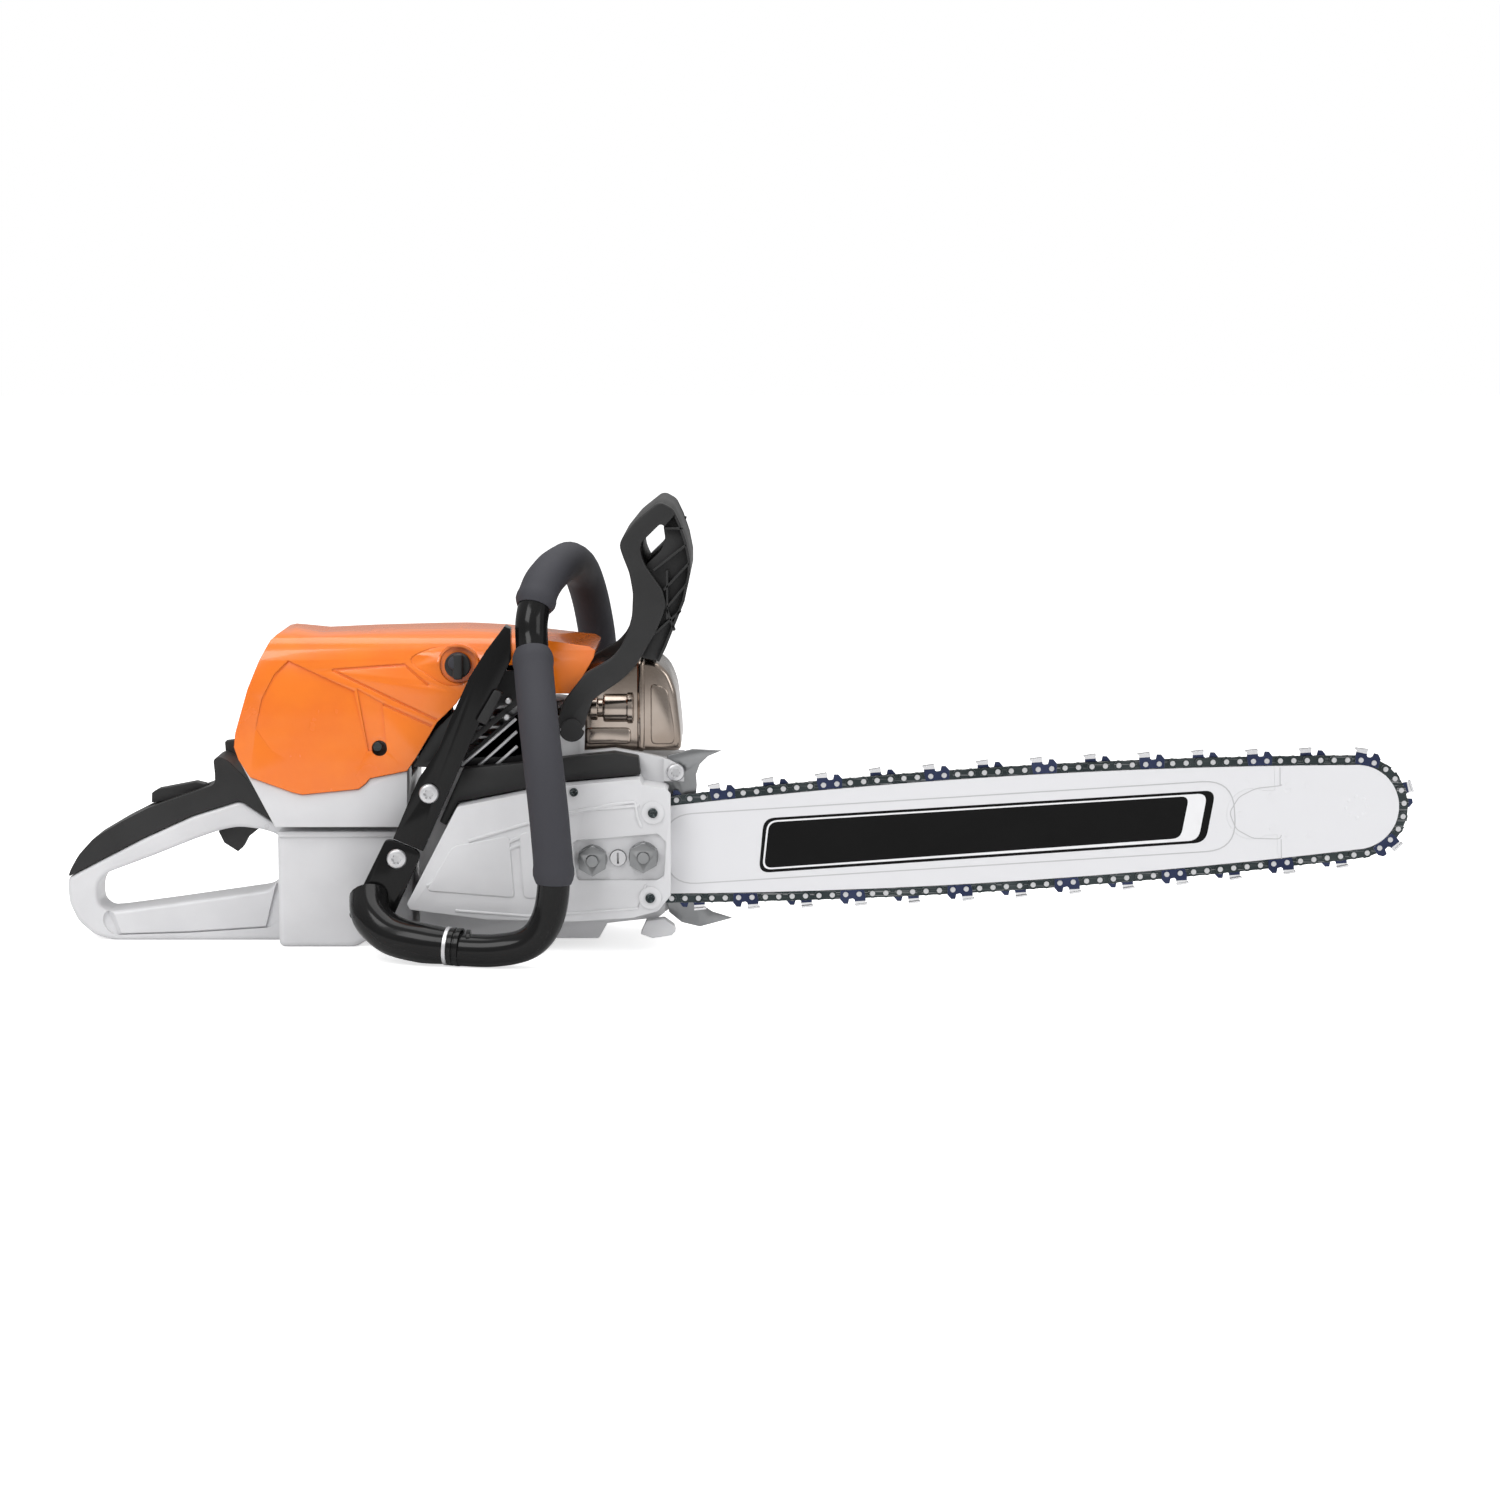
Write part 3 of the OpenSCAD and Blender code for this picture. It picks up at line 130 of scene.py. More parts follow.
class Axis(Enum):
    """The direction in which an outline is made thick."""

    ACROSS = 0
    ALONG = 1
    UP = 2

    def place(self, a: float, b: float, depth: float) -> Vector:
        """Puts an outline's point into the frame.

        Args:
            a: first number of the point.
            b: second number of the point.
            depth: how far the point lies along this direction.

        Returns:
            The point in the frame, in metres.
        """
        if self is Axis.ACROSS:
            return at(a, depth, b)
        if self is Axis.ALONG:
            return at(depth, a, b)
        return at(a, b, depth)

    def shift(self, length: float) -> Vector:
        """Gives a move of that many millimetres along this direction."""
        return self.place(0, 0, length) - self.place(0, 0, 0)


# ---------------------------------------------------------------- modelling helpers


def deselect() -> None:
    """Leaves object mode and deselects everything."""
    if bpy.context.object and bpy.context.object.mode != "OBJECT":
        bpy.ops.object.mode_set(mode="OBJECT")
    bpy.ops.object.select_all(action="DESELECT")


def choose(obj: bpy.types.Object) -> None:
    """Makes one object the only selected and active one."""
    deselect()
    obj.select_set(True)
    bpy.context.view_layer.objects.active = obj


def open_edit(obj: bpy.types.Object) -> None:
    """Opens a piece for editing, with all of it selected."""
    choose(obj)
    bpy.ops.object.mode_set(mode="EDIT")
    bpy.ops.mesh.select_all(action="SELECT")


def close_edit() -> None:
    """Goes back to object mode."""
    bpy.ops.object.mode_set(mode="OBJECT")


def settle(obj: bpy.types.Object, name: str, smooth: float = 32.0) -> bpy.types.Object:
    """Names a piece, puts its place into its mesh and smooths its shallow edges.

    Args:
        obj: the piece.
        name: its name.
        smooth: edges flatter than this angle, in degrees, are shaded smooth.

    Returns:
        The same piece.
    """
    choose(obj)
    obj.name = name
    obj.data.name = name
    bpy.ops.object.transform_apply(location=True, rotation=True, scale=True)
    bpy.ops.object.shade_smooth_by_angle(angle=radians(smooth))
    return obj


def apply_modifier(obj: bpy.types.Object, kind: str, **values: object) -> None:
    """Adds a modifier, gives it its values and applies it."""
    choose(obj)
    modifier = obj.modifiers.new(kind.lower(), kind)
    for key, value in values.items():
        setattr(modifier, key, value)
    bpy.ops.object.modifier_apply(modifier=modifier.name)


def round_edges(obj: bpy.types.Object, width: float, steps: int = 2, angle: float = 40.0) -> None:
    """Rounds the edges of a piece that are sharper than an angle.

    Args:
        obj: the piece.
        width: size of the rounding, in millimetres.
        steps: number of faces across the rounding.
        angle: smallest angle that is rounded, in degrees.
    """
    apply_modifier(obj, "BEVEL", width=width / 1000, segments=steps, limit_method="ANGLE",
                   angle_limit=radians(angle), use_clamp_overlap=True, miter_outer="MITER_ARC")


def mend(obj: bpy.types.Object) -> None:
    """Merges doubled points and turns all faces outwards."""
    open_edit(obj)
    bpy.ops.mesh.remove_doubles(threshold=1e-6)
    bpy.ops.mesh.normals_make_consistent(inside=False)
    close_edit()


def slab(name: str, outline: list[Point], low: float, high: float, axis: Axis = Axis.ACROSS,
         edge: float = 0.0, steps: int = 2) -> bpy.types.Object:
    """Extrudes an outline into a slab.

    Args:
        name: name of the piece.
        outline: corners of the outline, in order, in millimetres.
        low: where the slab starts along its axis.
        high: where it ends.
        axis: direction of the thickness.
        edge: rounding of its sharp edges, in millimetres.
        steps: faces across the rounding.

    Returns:
        The new piece.
    """
    deselect()
    bpy.ops.mesh.primitive_circle_add(vertices=len(outline), radius=0.01, fill_type="NGON")
    obj = bpy.context.active_object
    for vertex, (a, b) in zip(obj.data.vertices, outline):
        vertex.co = axis.place(a, b, low)
    open_edit(obj)
    bpy.ops.mesh.extrude_region_move(TRANSFORM_OT_translate={"value": axis.shift(high - low)})
    close_edit()
    mend(obj)
    if edge > 0:
        round_edges(obj, edge, steps)
    return settle(obj, name)


def turned(name: str, profile: list[Point], centre: Vector, direction: Vector,
           sides: int = 48) -> bpy.types.Object:
    """Spins a profile into a round piece.

    Args:
        name: name of the piece.
        profile: (height, radius) pairs in millimetres; it closes on the axis at both ends.
        centre: where height 0 lies on the axis, in metres.
        direction: the axis.
        sides: number of faces round the piece.

    Returns:
        The new piece.
    """
    deselect()
    bpy.ops.mesh.primitive_circle_add(vertices=sides, radius=profile[0][1] / 1000, fill_type="NGON",
                                      location=(0, 0, profile[0][0] / 1000))
    obj = bpy.context.active_object
    open_edit(obj)
    for (h0, r0), (h1, r1) in zip(profile, profile[1:]):
        bpy.ops.mesh.extrude_region_move(TRANSFORM_OT_translate={"value": (0, 0, (h1 - h0) / 1000)})
        if abs(r1 - r0) > 1e-6:
            factor = r1 / r0
            bpy.ops.transform.resize(value=(factor, factor, 1), center_override=(0, 0, h1 / 1000))
    close_edit()
    mend(obj)
    obj.data.transform(direction.to_track_quat("Z", "Y").to_matrix().to_4x4())
    obj.data.transform(Matrix.Translation(centre))
    return settle(obj, name)


def smooth_route(places: list[Place], steps: int) -> list[Vector]:
    """Draws a smooth curve through a list of places.

    Args:
        places: the places, in millimetres of the drawing.
        steps: number of points from one place to the next.

    Returns:
        Points of the curve in the frame, in metres.
    """
    points = []
    last = len(places) - 1
    for i in range(last):
        a, b, c, d = (Vector(places[min(max(k, 0), last)]) for k in (i - 1, i, i + 1, i + 2))
        for k in range(steps):
            f = k / steps
            points.append(0.5 * (2 * b + f * (c - a) + f * f * (2 * a - 5 * b + 4 * c - d)
                                 + f ** 3 * (3 * b - a - 3 * c + d)))
    points.append(Vector(places[-1]))
    return [at(*p) for p in points]


def tube(name: str, points: list[Vector], radius: float, scales: list[float] | None = None,
         rings: int = 8) -> bpy.types.Object:
    """Sweeps a round section along points.

    Args:
        name: name of the piece.
        points: the middle line, in metres.
        radius: radius of the section, in millimetres.
        scales: the section's size at each point, where it changes.
        rings: half the number of faces round the section, less two.

    Returns:
        The new piece.
    """
    deselect()
    bpy.ops.curve.primitive_bezier_curve_add()
    obj = bpy.context.active_object
    curve = obj.data
    curve.splines.clear()
    spline = curve.splines.new("POLY")
    spline.points.add(len(points) - 1)
    for k, point in enumerate(points):
        spline.points[k].co = (*point, 1.0)
        spline.points[k].radius = scales[k] if scales else 1.0
    curve.dimensions = "3D"
    curve.bevel_depth = radius / 1000
    curve.bevel_resolution = rings
    curve.use_fill_caps = True
    choose(obj)
    bpy.ops.object.convert(target="MESH")
    obj = bpy.context.active_object
    mend(obj)
    return settle(obj, name, 45)


def combine(obj: bpy.types.Object, other: bpy.types.Object, operation: str = "UNION") -> None:
    """Adds another solid to a piece, or cuts it away, and removes the other solid."""
    apply_modifier(obj, "BOOLEAN", object=other, operation=operation, solver="MANIFOLD")
    bpy.data.objects.remove(other)


def divided(outline: list[Point], depths: list[float], pace: float = 7.0) -> tuple[list[Point], list[float]]:
    """Adds points along an outline's edges, with the depths between them."""
    points, floor = [], []
    for k, start in enumerate(outline):
        after = (k + 1) % len(outline)
        count = max(1, round(hypot(outline[after][0] - start[0], outline[after][1] - start[1]) / pace))
        for step in range(count):
            share = step / count
            points.append((start[0] + (outline[after][0] - start[0]) * share,
                           start[1] + (outline[after][1] - start[1]) * share))
            floor.append(depths[k] + (depths[after] - depths[k]) * share)
    return points, floor


def surface_of(obj: bpy.types.Object) -> BVHTree:
    """Gives the surface of an object as it is now, for finding places on it."""
    mesh = obj.data
    return BVHTree.FromPolygons([v.co for v in mesh.vertices], [tuple(p.vertices) for p in mesh.polygons])


def pocket(obj: bpy.types.Object, outline: list[Point], side: Side, depths: list[float],
           guide: BVHTree, pace: float = 7.0) -> None:
    """Cuts a pocket whose floor follows a surface, deeper or shallower from point to point.

    Args:
        obj: the piece.
        outline: corners of the pocket, in millimetres.
        side: the side of the machine.
        depths: depth of the floor at each corner, in millimetres.
        guide: the surface that the floor follows.
        pace: longest edge of the pocket's outline, in millimetres.
    """
    points, floor = divided(outline, depths, pace)
    tool = slab("pocket", points, side.value * CUT_INNER, side.value * CUT_OUTER)
    open_edit(tool)
    level = min(z for _, z in points) + pace
    while level < max(z for _, z in points):
        bpy.ops.mesh.select_all(action="SELECT")
        bpy.ops.mesh.bisect(plane_co=at(0, 0, level), plane_no=(0, 0, 1))
        level += pace
    close_edit()
    far = at(0, side.value * LOOK_FROM, 0).y
    inner = [v for v in tool.data.vertices if abs(v.co.y - ORIGIN.y) < CUT_MIDDLE / 1000]
    for vertex in inner:
        x, z = vertex.co.x, vertex.co.z
        place = guide.ray_cast(Vector((x, far, z)), -side.out)[0]
        near = min(range(len(points)),
                   key=lambda k: (at(points[k][0], 0, points[k][1]) - vertex.co).xz.length)
        surface = place.y if place else at(0, side.value * HALF_COVER, 0).y
        vertex.co.y = surface - side.value * floor[near] / 1000
    open_edit(tool)
    bpy.ops.mesh.quads_convert_to_tris(quad_method="BEAUTY", ngon_method="BEAUTY")
    close_edit()
    combine(obj, tool, "DIFFERENCE")


def repeat(obj: bpy.types.Object, name: str, shift: Vector) -> bpy.types.Object:
    """Copies a piece, with its own mesh, to another place."""
    made = bpy.data.objects.new(name, obj.data.copy())
    bpy.context.scene.collection.objects.link(made)
    made.data.name = name
    made.data.transform(Matrix.Translation(shift))
    return made


def strip(points: list[Point], width: float) -> list[Point]:
    """Gives the outline of a strip of a width along points."""
    left, right = [], []
    for i, point in enumerate(points):
        ahead = Vector(points[min(i + 1, len(points) - 1)]) - Vector(points[max(i - 1, 0)])
        across = Vector((-ahead.y, ahead.x)).normalized() * width / 2
        left.append((point[0] + across.x, point[1] + across.y))
        right.append((point[0] - across.x, point[1] - across.y))
    return left + right[::-1]


def copy_of(node: str, name: str, edge: float = 0.0, steps: int = 2) -> bpy.types.Object:
    """Copies a CAD node as a clean mesh, with rounded edges if asked, and stands it in for the node.

    Args:
        node: the CAD node.
        name: name of the copy.
        edge: rounding of its sharp edges, in millimetres.
        steps: faces across the rounding.

    Returns:
        The copy, which replaces the node.
    """
    deselect()
    obj = bpy.data.objects.new(name, frame["nodes"][node].data.copy())
    bpy.context.scene.collection.objects.link(obj)
    choose(obj)
    bpy.ops.mesh.customdata_custom_splitnormals_clear()
    open_edit(obj)
    bpy.ops.mesh.remove_doubles(threshold=2e-6)
    bpy.ops.mesh.dissolve_limited(angle_limit=radians(0.6), use_dissolve_boundaries=False)
    close_edit()
    if edge > 0:
        round_edges(obj, edge, steps)
    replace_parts(obj, node)
    return settle(obj, name)


def arc(centre: Point, radius: float, start: float, end: float, steps: int) -> list[Point]:
    """Gives points of an arc, from one angle in degrees to another."""
    return [(centre[0] + radius * cos(radians(start + (end - start) * k / steps)),
             centre[1] + radius * sin(radians(start + (end - start) * k / steps)))
            for k in range(steps + 1)]


def softened(outline: list[Point], radius: float, steps: int = 4) -> list[Point]:
    """Rounds the corners of an outline.

    Args:
        outline: the corners, in order.
        radius: how far from each corner its rounding starts, at most.
        steps: number of pieces in each rounding.

    Returns:
        The outline with rounded corners.
    """
    result = []
    count = len(outline)
    for i, corner in enumerate(outline):
        here = Vector(corner)
        before = Vector(outline[i - 1]) - here
        after = Vector(outline[(i + 1) % count]) - here
        reach = min(radius, before.length * 0.45, after.length * 0.45)
        start = here + before.normalized() * reach
        end = here + after.normalized() * reach
        for k in range(steps + 1):
            f = k / steps
            point = (1 - f) ** 2 * start + 2 * f * (1 - f) * here + f * f * end
            result.append((point.x, point.y))
    return result


# ---------------------------------------------------------------- shader groups


class Link:
    """Adds nodes to a node tree and joins them."""

    def __init__(self, tree: bpy.types.NodeTree) -> None:
        """Keeps the tree that nodes are added to."""
        self.tree = tree

    def node(self, kind: str, given: dict[str, object] | None = None, **settings: object) -> bpy.types.Node:
        """Adds a node, sets its properties and feeds its inputs.

        Args:
            kind: the node's type, without its prefix.
            given: its inputs by name, each a value or a socket.
            **settings: properties of the node.

        Returns:
            The new node.
        """
        made = self.tree.nodes.new("ShaderNode" + kind)
        for key, value in settings.items():
            setattr(made, key, value)
        for key, value in (given or {}).items():
            self.feed(value, made.inputs[key])
        return made

    def feed(self, given: object, target: bpy.types.NodeSocket) -> None:
        """Joins a socket to an input, or sets the input to a value."""
        if isinstance(given, bpy.types.NodeSocket):
            self.join(given, target)
        else:
            target.default_value = given

    def join(self, source: bpy.types.NodeSocket, target: bpy.types.NodeSocket) -> None:
        """Joins an output to an input."""
        self.tree.links.new(source, target)

    def value(self, operation: str, first: object, second: object = 0.0,
              clamp: bool = False) -> bpy.types.NodeSocket:
        """Adds a sum on two values, each a number or a socket, and gives its result."""
        made = self.node("Math", operation=operation, use_clamp=clamp)
        for socket, given in zip(made.inputs, (first, second)):
            self.feed(given, socket)
        return made.outputs[0]

    def ramp(self, source: bpy.types.NodeSocket, low: float, high: float) -> bpy.types.NodeSocket:
        """Stretches the range from low to high over 0 to 1."""
        made = self.node("MapRange", {"Value": source, "From Min": low, "From Max": high}, clamp=True,
                         interpolation_type="SMOOTHSTEP")
        return made.outputs["Result"]

    def noise(self, scale: float, detail: float) -> bpy.types.Node:
        """Adds a noise texture that stays with the object."""
        place = self.node("TexCoord").outputs["Object"]
        return self.node("TexNoise", {"Scale": scale, "Detail": detail, "Vector": place})

    def mix(self, share: bpy.types.NodeSocket, first: object, second: object) -> bpy.types.NodeSocket:
        """Mixes two colours, each a colour or a socket, and gives the result."""
        made = self.node("Mix", data_type="RGBA")
        self.join(share, made.inputs[0])
        for socket, given in zip((made.inputs[6], made.inputs[7]), (first, second)):
            self.feed(given if isinstance(given, bpy.types.NodeSocket) else (*given, 1.0), socket)
        return made.outputs[2]


@dataclass(frozen=True)
class Socket:
    """One input or output of a shader group."""

    name: str
    kind: str = "NodeSocketFloat"
    default: float | None = None


def new_group(name: str, inputs: list[Socket], outputs: list[Socket]) -> tuple[Link, dict, dict]:
    """Starts a shader group with named sockets.

    Args:
        name: name of the group.
        inputs: its inputs.
        outputs: its outputs.

    Returns:
        The group's tree, the sockets of its inputs by name, and those of its outputs.
    """
    tree = bpy.data.node_groups.new(name, "ShaderNodeTree")
    for way, sockets in (("INPUT", inputs), ("OUTPUT", outputs)):
        for item in sockets:
            socket = tree.interface.new_socket(item.name, in_out=way, socket_type=item.kind)
            if item.default is not None:
                socket.default_value = item.default
    link = Link(tree)
    start = tree.nodes.new("NodeGroupInput")
    end = tree.nodes.new("NodeGroupOutput")
    given = {item.name: start.outputs[item.name] for item in inputs}
    made = {item.name: end.inputs[item.name] for item in outputs}
    return link, given, made


def edge_group() -> bpy.types.NodeTree:
    """Builds the group that finds worn edges and softens them.

    Returns:
        A group with a mask of worn edges and the softened normal.
    """
    link, given, made = new_group(
        "worn_edges",
        [Socket("Radius", default=0.0008), Socket("Amount", default=0.5)],
        [Socket("Mask"), Socket("Normal", "NodeSocketVector")])
    bevel = link.node("Bevel", {"Radius": given["Radius"]}, samples=4)
    plain = link.node("NewGeometry")
    dot = link.node("VectorMath", operation="DOT_PRODUCT")
    link.join(bevel.outputs["Normal"], dot.inputs[0])
    link.join(plain.outputs["Normal"], dot.inputs[1])
    turn = link.ramp(link.value("SUBTRACT", 1.0, dot.outputs["Value"]), 0.02, 0.22)
    patchy = link.ramp(link.noise(160, 3).outputs["Fac"], 0.38, 0.62)
    mask = link.value("MULTIPLY", link.value("MULTIPLY", turn, patchy), given["Amount"], clamp=True)
    link.join(mask, made["Mask"])
    link.join(bevel.outputs["Normal"], made["Normal"])
    return link.tree


def grain_group() -> bpy.types.NodeTree:
    """Builds the group for the fine grain of moulded and cast surfaces."""
    link, given, made = new_group(
        "moulded_grain", [Socket("Scale", default=1500.0), Socket("Softness", default=0.5)],
        [Socket("Height"), Socket("Variation")])
    place = link.node("TexCoord").outputs["Object"]
    fine = link.node("TexNoise", {"Detail": 2, "Vector": place, "Scale": given["Scale"]})
    wide = link.noise(28, 4)
    wider = link.value("MULTIPLY", given["Scale"], 0.55)
    cells = link.node("TexVoronoi", {"Vector": place, "Scale": wider}, feature="SMOOTH_F1")
    rough = link.value("MULTIPLY", cells.outputs["Distance"], given["Softness"])
    link.join(link.value("ADD", fine.outputs["Fac"], rough), made["Height"])
    link.join(wide.outputs["Fac"], made["Variation"])
    return link.tree


def brushed_group() -> bpy.types.NodeTree:
    """Builds the group for fine parallel scratches along one direction."""
    link, given, made = new_group(
        "brushed_lines", [Socket("Length", default=12.0), Socket("Fineness", default=1800.0)],
        [Socket("Height"), Socket("Scratches")])
    place = link.node("TexCoord")
    stretch = link.node("CombineXYZ", {"X": given["Length"], "Y": given["Fineness"], "Z": given["Fineness"]})
    scaled = link.node("VectorMath", operation="MULTIPLY")
    link.join(place.outputs["Object"], scaled.inputs[0])
    link.join(stretch.outputs["Vector"], scaled.inputs[1])
    lines = link.node("TexNoise", {"Scale": 1.0, "Detail": 3, "Vector": scaled.outputs["Vector"]})
    link.join(lines.outputs["Fac"], made["Height"])
    link.join(link.ramp(lines.outputs["Fac"], 0.58, 0.72), made["Scratches"])
    return link.tree


def dust_group() -> bpy.types.NodeTree:
    """Builds the group for a little dust on surfaces that face up."""
    link, given, made = new_group("light_dust", [Socket("Amount", default=0.1)], [Socket("Mask")])
    facing = link.node("NewGeometry")
    parts = link.node("SeparateXYZ")
    link.join(facing.outputs["Normal"], parts.inputs[0])
    up = link.ramp(parts.outputs["Z"], 0.2, 1.0)
    mask = link.value("MULTIPLY", up, link.ramp(link.noise(45, 6).outputs["Fac"], 0.35, 0.75))
    link.join(link.value("MULTIPLY", mask, given["Amount"], clamp=True), made["Mask"])
    return link.tree


def knurl_group() -> bpy.types.NodeTree:
    """Builds the group for the fine crossed ribs of rubber sleeves."""
    link, given, made = new_group("rubber_ribs", [Socket("Pitch", default=900.0)], [Socket("Height")])
    place = link.node("TexCoord")
    heights = []
    for turn in (0.6, -0.6):
        mapping = link.node("Mapping", {"Rotation": (turn, turn, 0.4), "Vector": place.outputs["Object"]})
        wave = link.node("TexWave", {"Scale": given["Pitch"], "Vector": mapping.outputs["Vector"]},
                         wave_type="BANDS", bands_direction="DIAGONAL")
        heights.append(wave.outputs["Fac"])
    link.join(link.value("MULTIPLY", *heights), made["Height"])
    return link.tree


GROUPS = {"edges": edge_group(), "grain": grain_group(), "brushed": brushed_group(),
          "dust": dust_group(), "knurl": knurl_group()}


# ---------------------------------------------------------------- finishes


class Pattern(Enum):
    """Fine relief of a surface."""

    GRAIN = "grain"
    BRUSHED = "brushed"
    KNURL = "knurl"


@dataclass(frozen=True)
class Finish:
    """A surface finish and the material made from it.

    Colours are linear red, green and blue. Relief is in millimetres.
    """

    name: str
    slot: str
    colour: tuple[float, float, float]
    shade: tuple[float, float, float]
    worn: tuple[float, float, float]
    roughness: float = 0.4
    spread: float = 0.1
    metal: float = 0.0
    coat: float = 0.0
    pattern: Pattern = Pattern.GRAIN
    scale: float = 1500.0
    relief: float = 0.02
    wear: float = 0.25
    edge: float = 0.6
    dust: float = 0.08
    specular: float = 0.5

    def material(self) -> bpy.types.Material:
        """Builds the material once, and gives it each time it is asked for.

        Returns:
            The material.
        """
        ready = bpy.data.materials.get(self.name)
        if ready:
            return ready
        made = bpy.data.materials.new(self.name)
        made.use_nodes = True
        made.diffuse_color = (*self.colour, 1.0)
        tree = made.node_tree
        tree.nodes.clear()
        link = Link(tree)
        output = link.node("OutputMaterial")
        shader = link.node("BsdfPrincipled", {"Metallic": self.metal, "Coat Weight": self.coat,
                                              "Coat Roughness": 0.06, "Specular IOR Level": self.specular})
        link.join(shader.outputs["BSDF"], output.inputs["Surface"])
        edges = self._group(link, "edges", Radius=self.edge / 1000, Amount=self.wear)
        grain = self._group(link, "grain", Scale=self.scale)
        dust = self._group(link, "dust", Amount=self.dust)
        height = grain.outputs["Height"]
        colour = link.mix(link.ramp(grain.outputs["Variation"], 0.3, 0.7), self.colour, self.shade)
        rough = link.value("ADD", self.roughness - self.spread / 2,
                           link.value("MULTIPLY", grain.outputs["Variation"], self.spread))
        if self.pattern is Pattern.BRUSHED:
            lines = self._group(link, "brushed")
            height = lines.outputs["Height"]
            colour = link.mix(lines.outputs["Scratches"], colour, self.worn)
            rough = link.value("ADD", rough, link.value("MULTIPLY", lines.outputs["Scratches"], 0.12))
        elif self.pattern is Pattern.KNURL:
            height = self._group(link, "knurl", Pitch=self.scale).outputs["Height"]
        colour = link.mix(edges.outputs["Mask"], colour, self.worn)
        colour = link.mix(dust.outputs["Mask"], colour, (0.42, 0.40, 0.36))
        rough = link.value("ADD", rough, link.value("MULTIPLY", dust.outputs["Mask"], 0.4), clamp=True)
        bump = link.node("Bump", {"Distance": self.relief / 1000, "Strength": 0.6, "Height": height,
                                  "Normal": edges.outputs["Normal"]})
        link.join(colour, shader.inputs["Base Color"])
        link.join(rough, shader.inputs["Roughness"])
        link.join(bump.outputs["Normal"], shader.inputs["Normal"])
        return made

    @staticmethod
    def _group(link: Link, name: str, **values: float) -> bpy.types.Node:
        """Places a shader group with its own values."""
        return link.node("Group", values, node_tree=GROUPS[name])


def grey(value: float) -> tuple[float, float, float]:
    """Gives a neutral colour."""
    return (value, value, value * 1.02)


PALE = Finish("pale_moulding", "pale_plastic", (0.67, 0.67, 0.685), (0.63, 0.63, 0.645), (0.76, 0.76, 0.77),
              roughness=0.38, coat=0.15, scale=1300, relief=0.012, wear=0.15)
CASTING = Finish("pale_painted_casting", "pale_casting", (0.64, 0.64, 0.655), (0.60, 0.60, 0.61),
                 (0.5, 0.5, 0.51), roughness=0.42, coat=0.1, scale=900, relief=0.05, wear=0.3)
ORANGE = Finish("orange_moulding", "orange_plastic", (0.86, 0.19, 0.006), (0.82, 0.165, 0.005),
                (0.92, 0.30, 0.05), roughness=0.26, coat=0.4, scale=700, relief=0.01, wear=0.06, edge=1.0,
                dust=0.0)
BLACK = Finish("black_moulding", "black_plastic", grey(0.022), grey(0.017), grey(0.075),
               roughness=0.45, scale=1700, relief=0.04, wear=0.5, dust=0.03, specular=0.35)
ENAMEL = Finish("black_enamel_tube", "black_enamel", grey(0.008), grey(0.006), grey(0.06),
                roughness=0.15, coat=0.1, scale=500, relief=0.006, wear=0.2, dust=0.0, specular=0.16)
RUBBER = Finish("grip_rubber", "grip_rubber", (0.012, 0.015, 0.018), (0.009, 0.011, 0.014), grey(0.04),
                roughness=0.72, pattern=Pattern.KNURL, scale=620, relief=0.12, wear=0.35, dust=0.03,
                specular=0.2)
STEEL = Finish("bright_steel", "bright_steel", grey(0.42), grey(0.35), grey(0.7), roughness=0.24,
               metal=1.0, pattern=Pattern.BRUSHED, relief=0.006, wear=0.6, dust=0.0, edge=0.4)
OILED = Finish("oiled_steel", "dark_steel", (0.055, 0.066, 0.068), (0.035, 0.045, 0.047), grey(0.4),
               roughness=0.34, metal=1.0, pattern=Pattern.BRUSHED, relief=0.008, wear=0.8, dust=0.0, edge=0.3)
BLUED = Finish("blued_steel", "blue_steel", (0.05, 0.062, 0.12), (0.03, 0.038, 0.08), grey(0.5),
               roughness=0.3, metal=1.0, scale=2500, relief=0.01, wear=0.8, dust=0.0, edge=0.3)
BRONZE = Finish("silencer_plate", "bronze_plate", (0.42, 0.36, 0.315), (0.30, 0.245, 0.205),
                (0.66, 0.61, 0.56), roughness=0.16, spread=0.12, metal=1.0, scale=400, relief=0.02,
                wear=0.4, dust=0.0, edge=1.0)
ZINC = Finish("zinc_plated_steel", "bright_steel", (0.30, 0.305, 0.31), (0.22, 0.225, 0.23), grey(0.6),
              roughness=0.3, metal=1.0, scale=900, relief=0.02, wear=0.6, dust=0.0, edge=0.5)
ALLOY = Finish("raw_alloy", "raw_alloy", grey(0.48), grey(0.38), grey(0.66), roughness=0.5, metal=1.0,
               scale=1100, relief=0.09, wear=0.5, dust=0.02)
COAT = Finish("bar_coat", "bar_coat", grey(0.47), grey(0.43), grey(0.38), roughness=0.34, metal=0.15,
              pattern=Pattern.BRUSHED, relief=0.004, wear=0.8, edge=0.5, dust=0.0)
PANEL = Finish("bar_panel_black", "black_plastic", grey(0.004), grey(0.003), grey(0.1), roughness=0.4,
               specular=0.12, scale=900, relief=0.004, wear=0.1, dust=0.0, edge=0.2)
LINE = Finish("bar_panel_line", "bar_coat", grey(0.8), grey(0.76), grey(0.8), roughness=0.4,
              scale=900, relief=0.004, wear=0.0, dust=0.0, edge=0.2)
CHROME = Finish("bright_plate", "bright_steel", grey(0.72), grey(0.66), grey(0.85), roughness=0.16,
                metal=1.0, scale=2500, relief=0.003, wear=0.3, dust=0.0, edge=0.2)
CLOTH = Finish("filter_cloth", "filter_cloth", (0.66, 0.60, 0.44), (0.58, 0.52, 0.38), (0.7, 0.66, 0.5),
               roughness=0.85, scale=2600, relief=0.15, wear=0.0, dust=0.1)
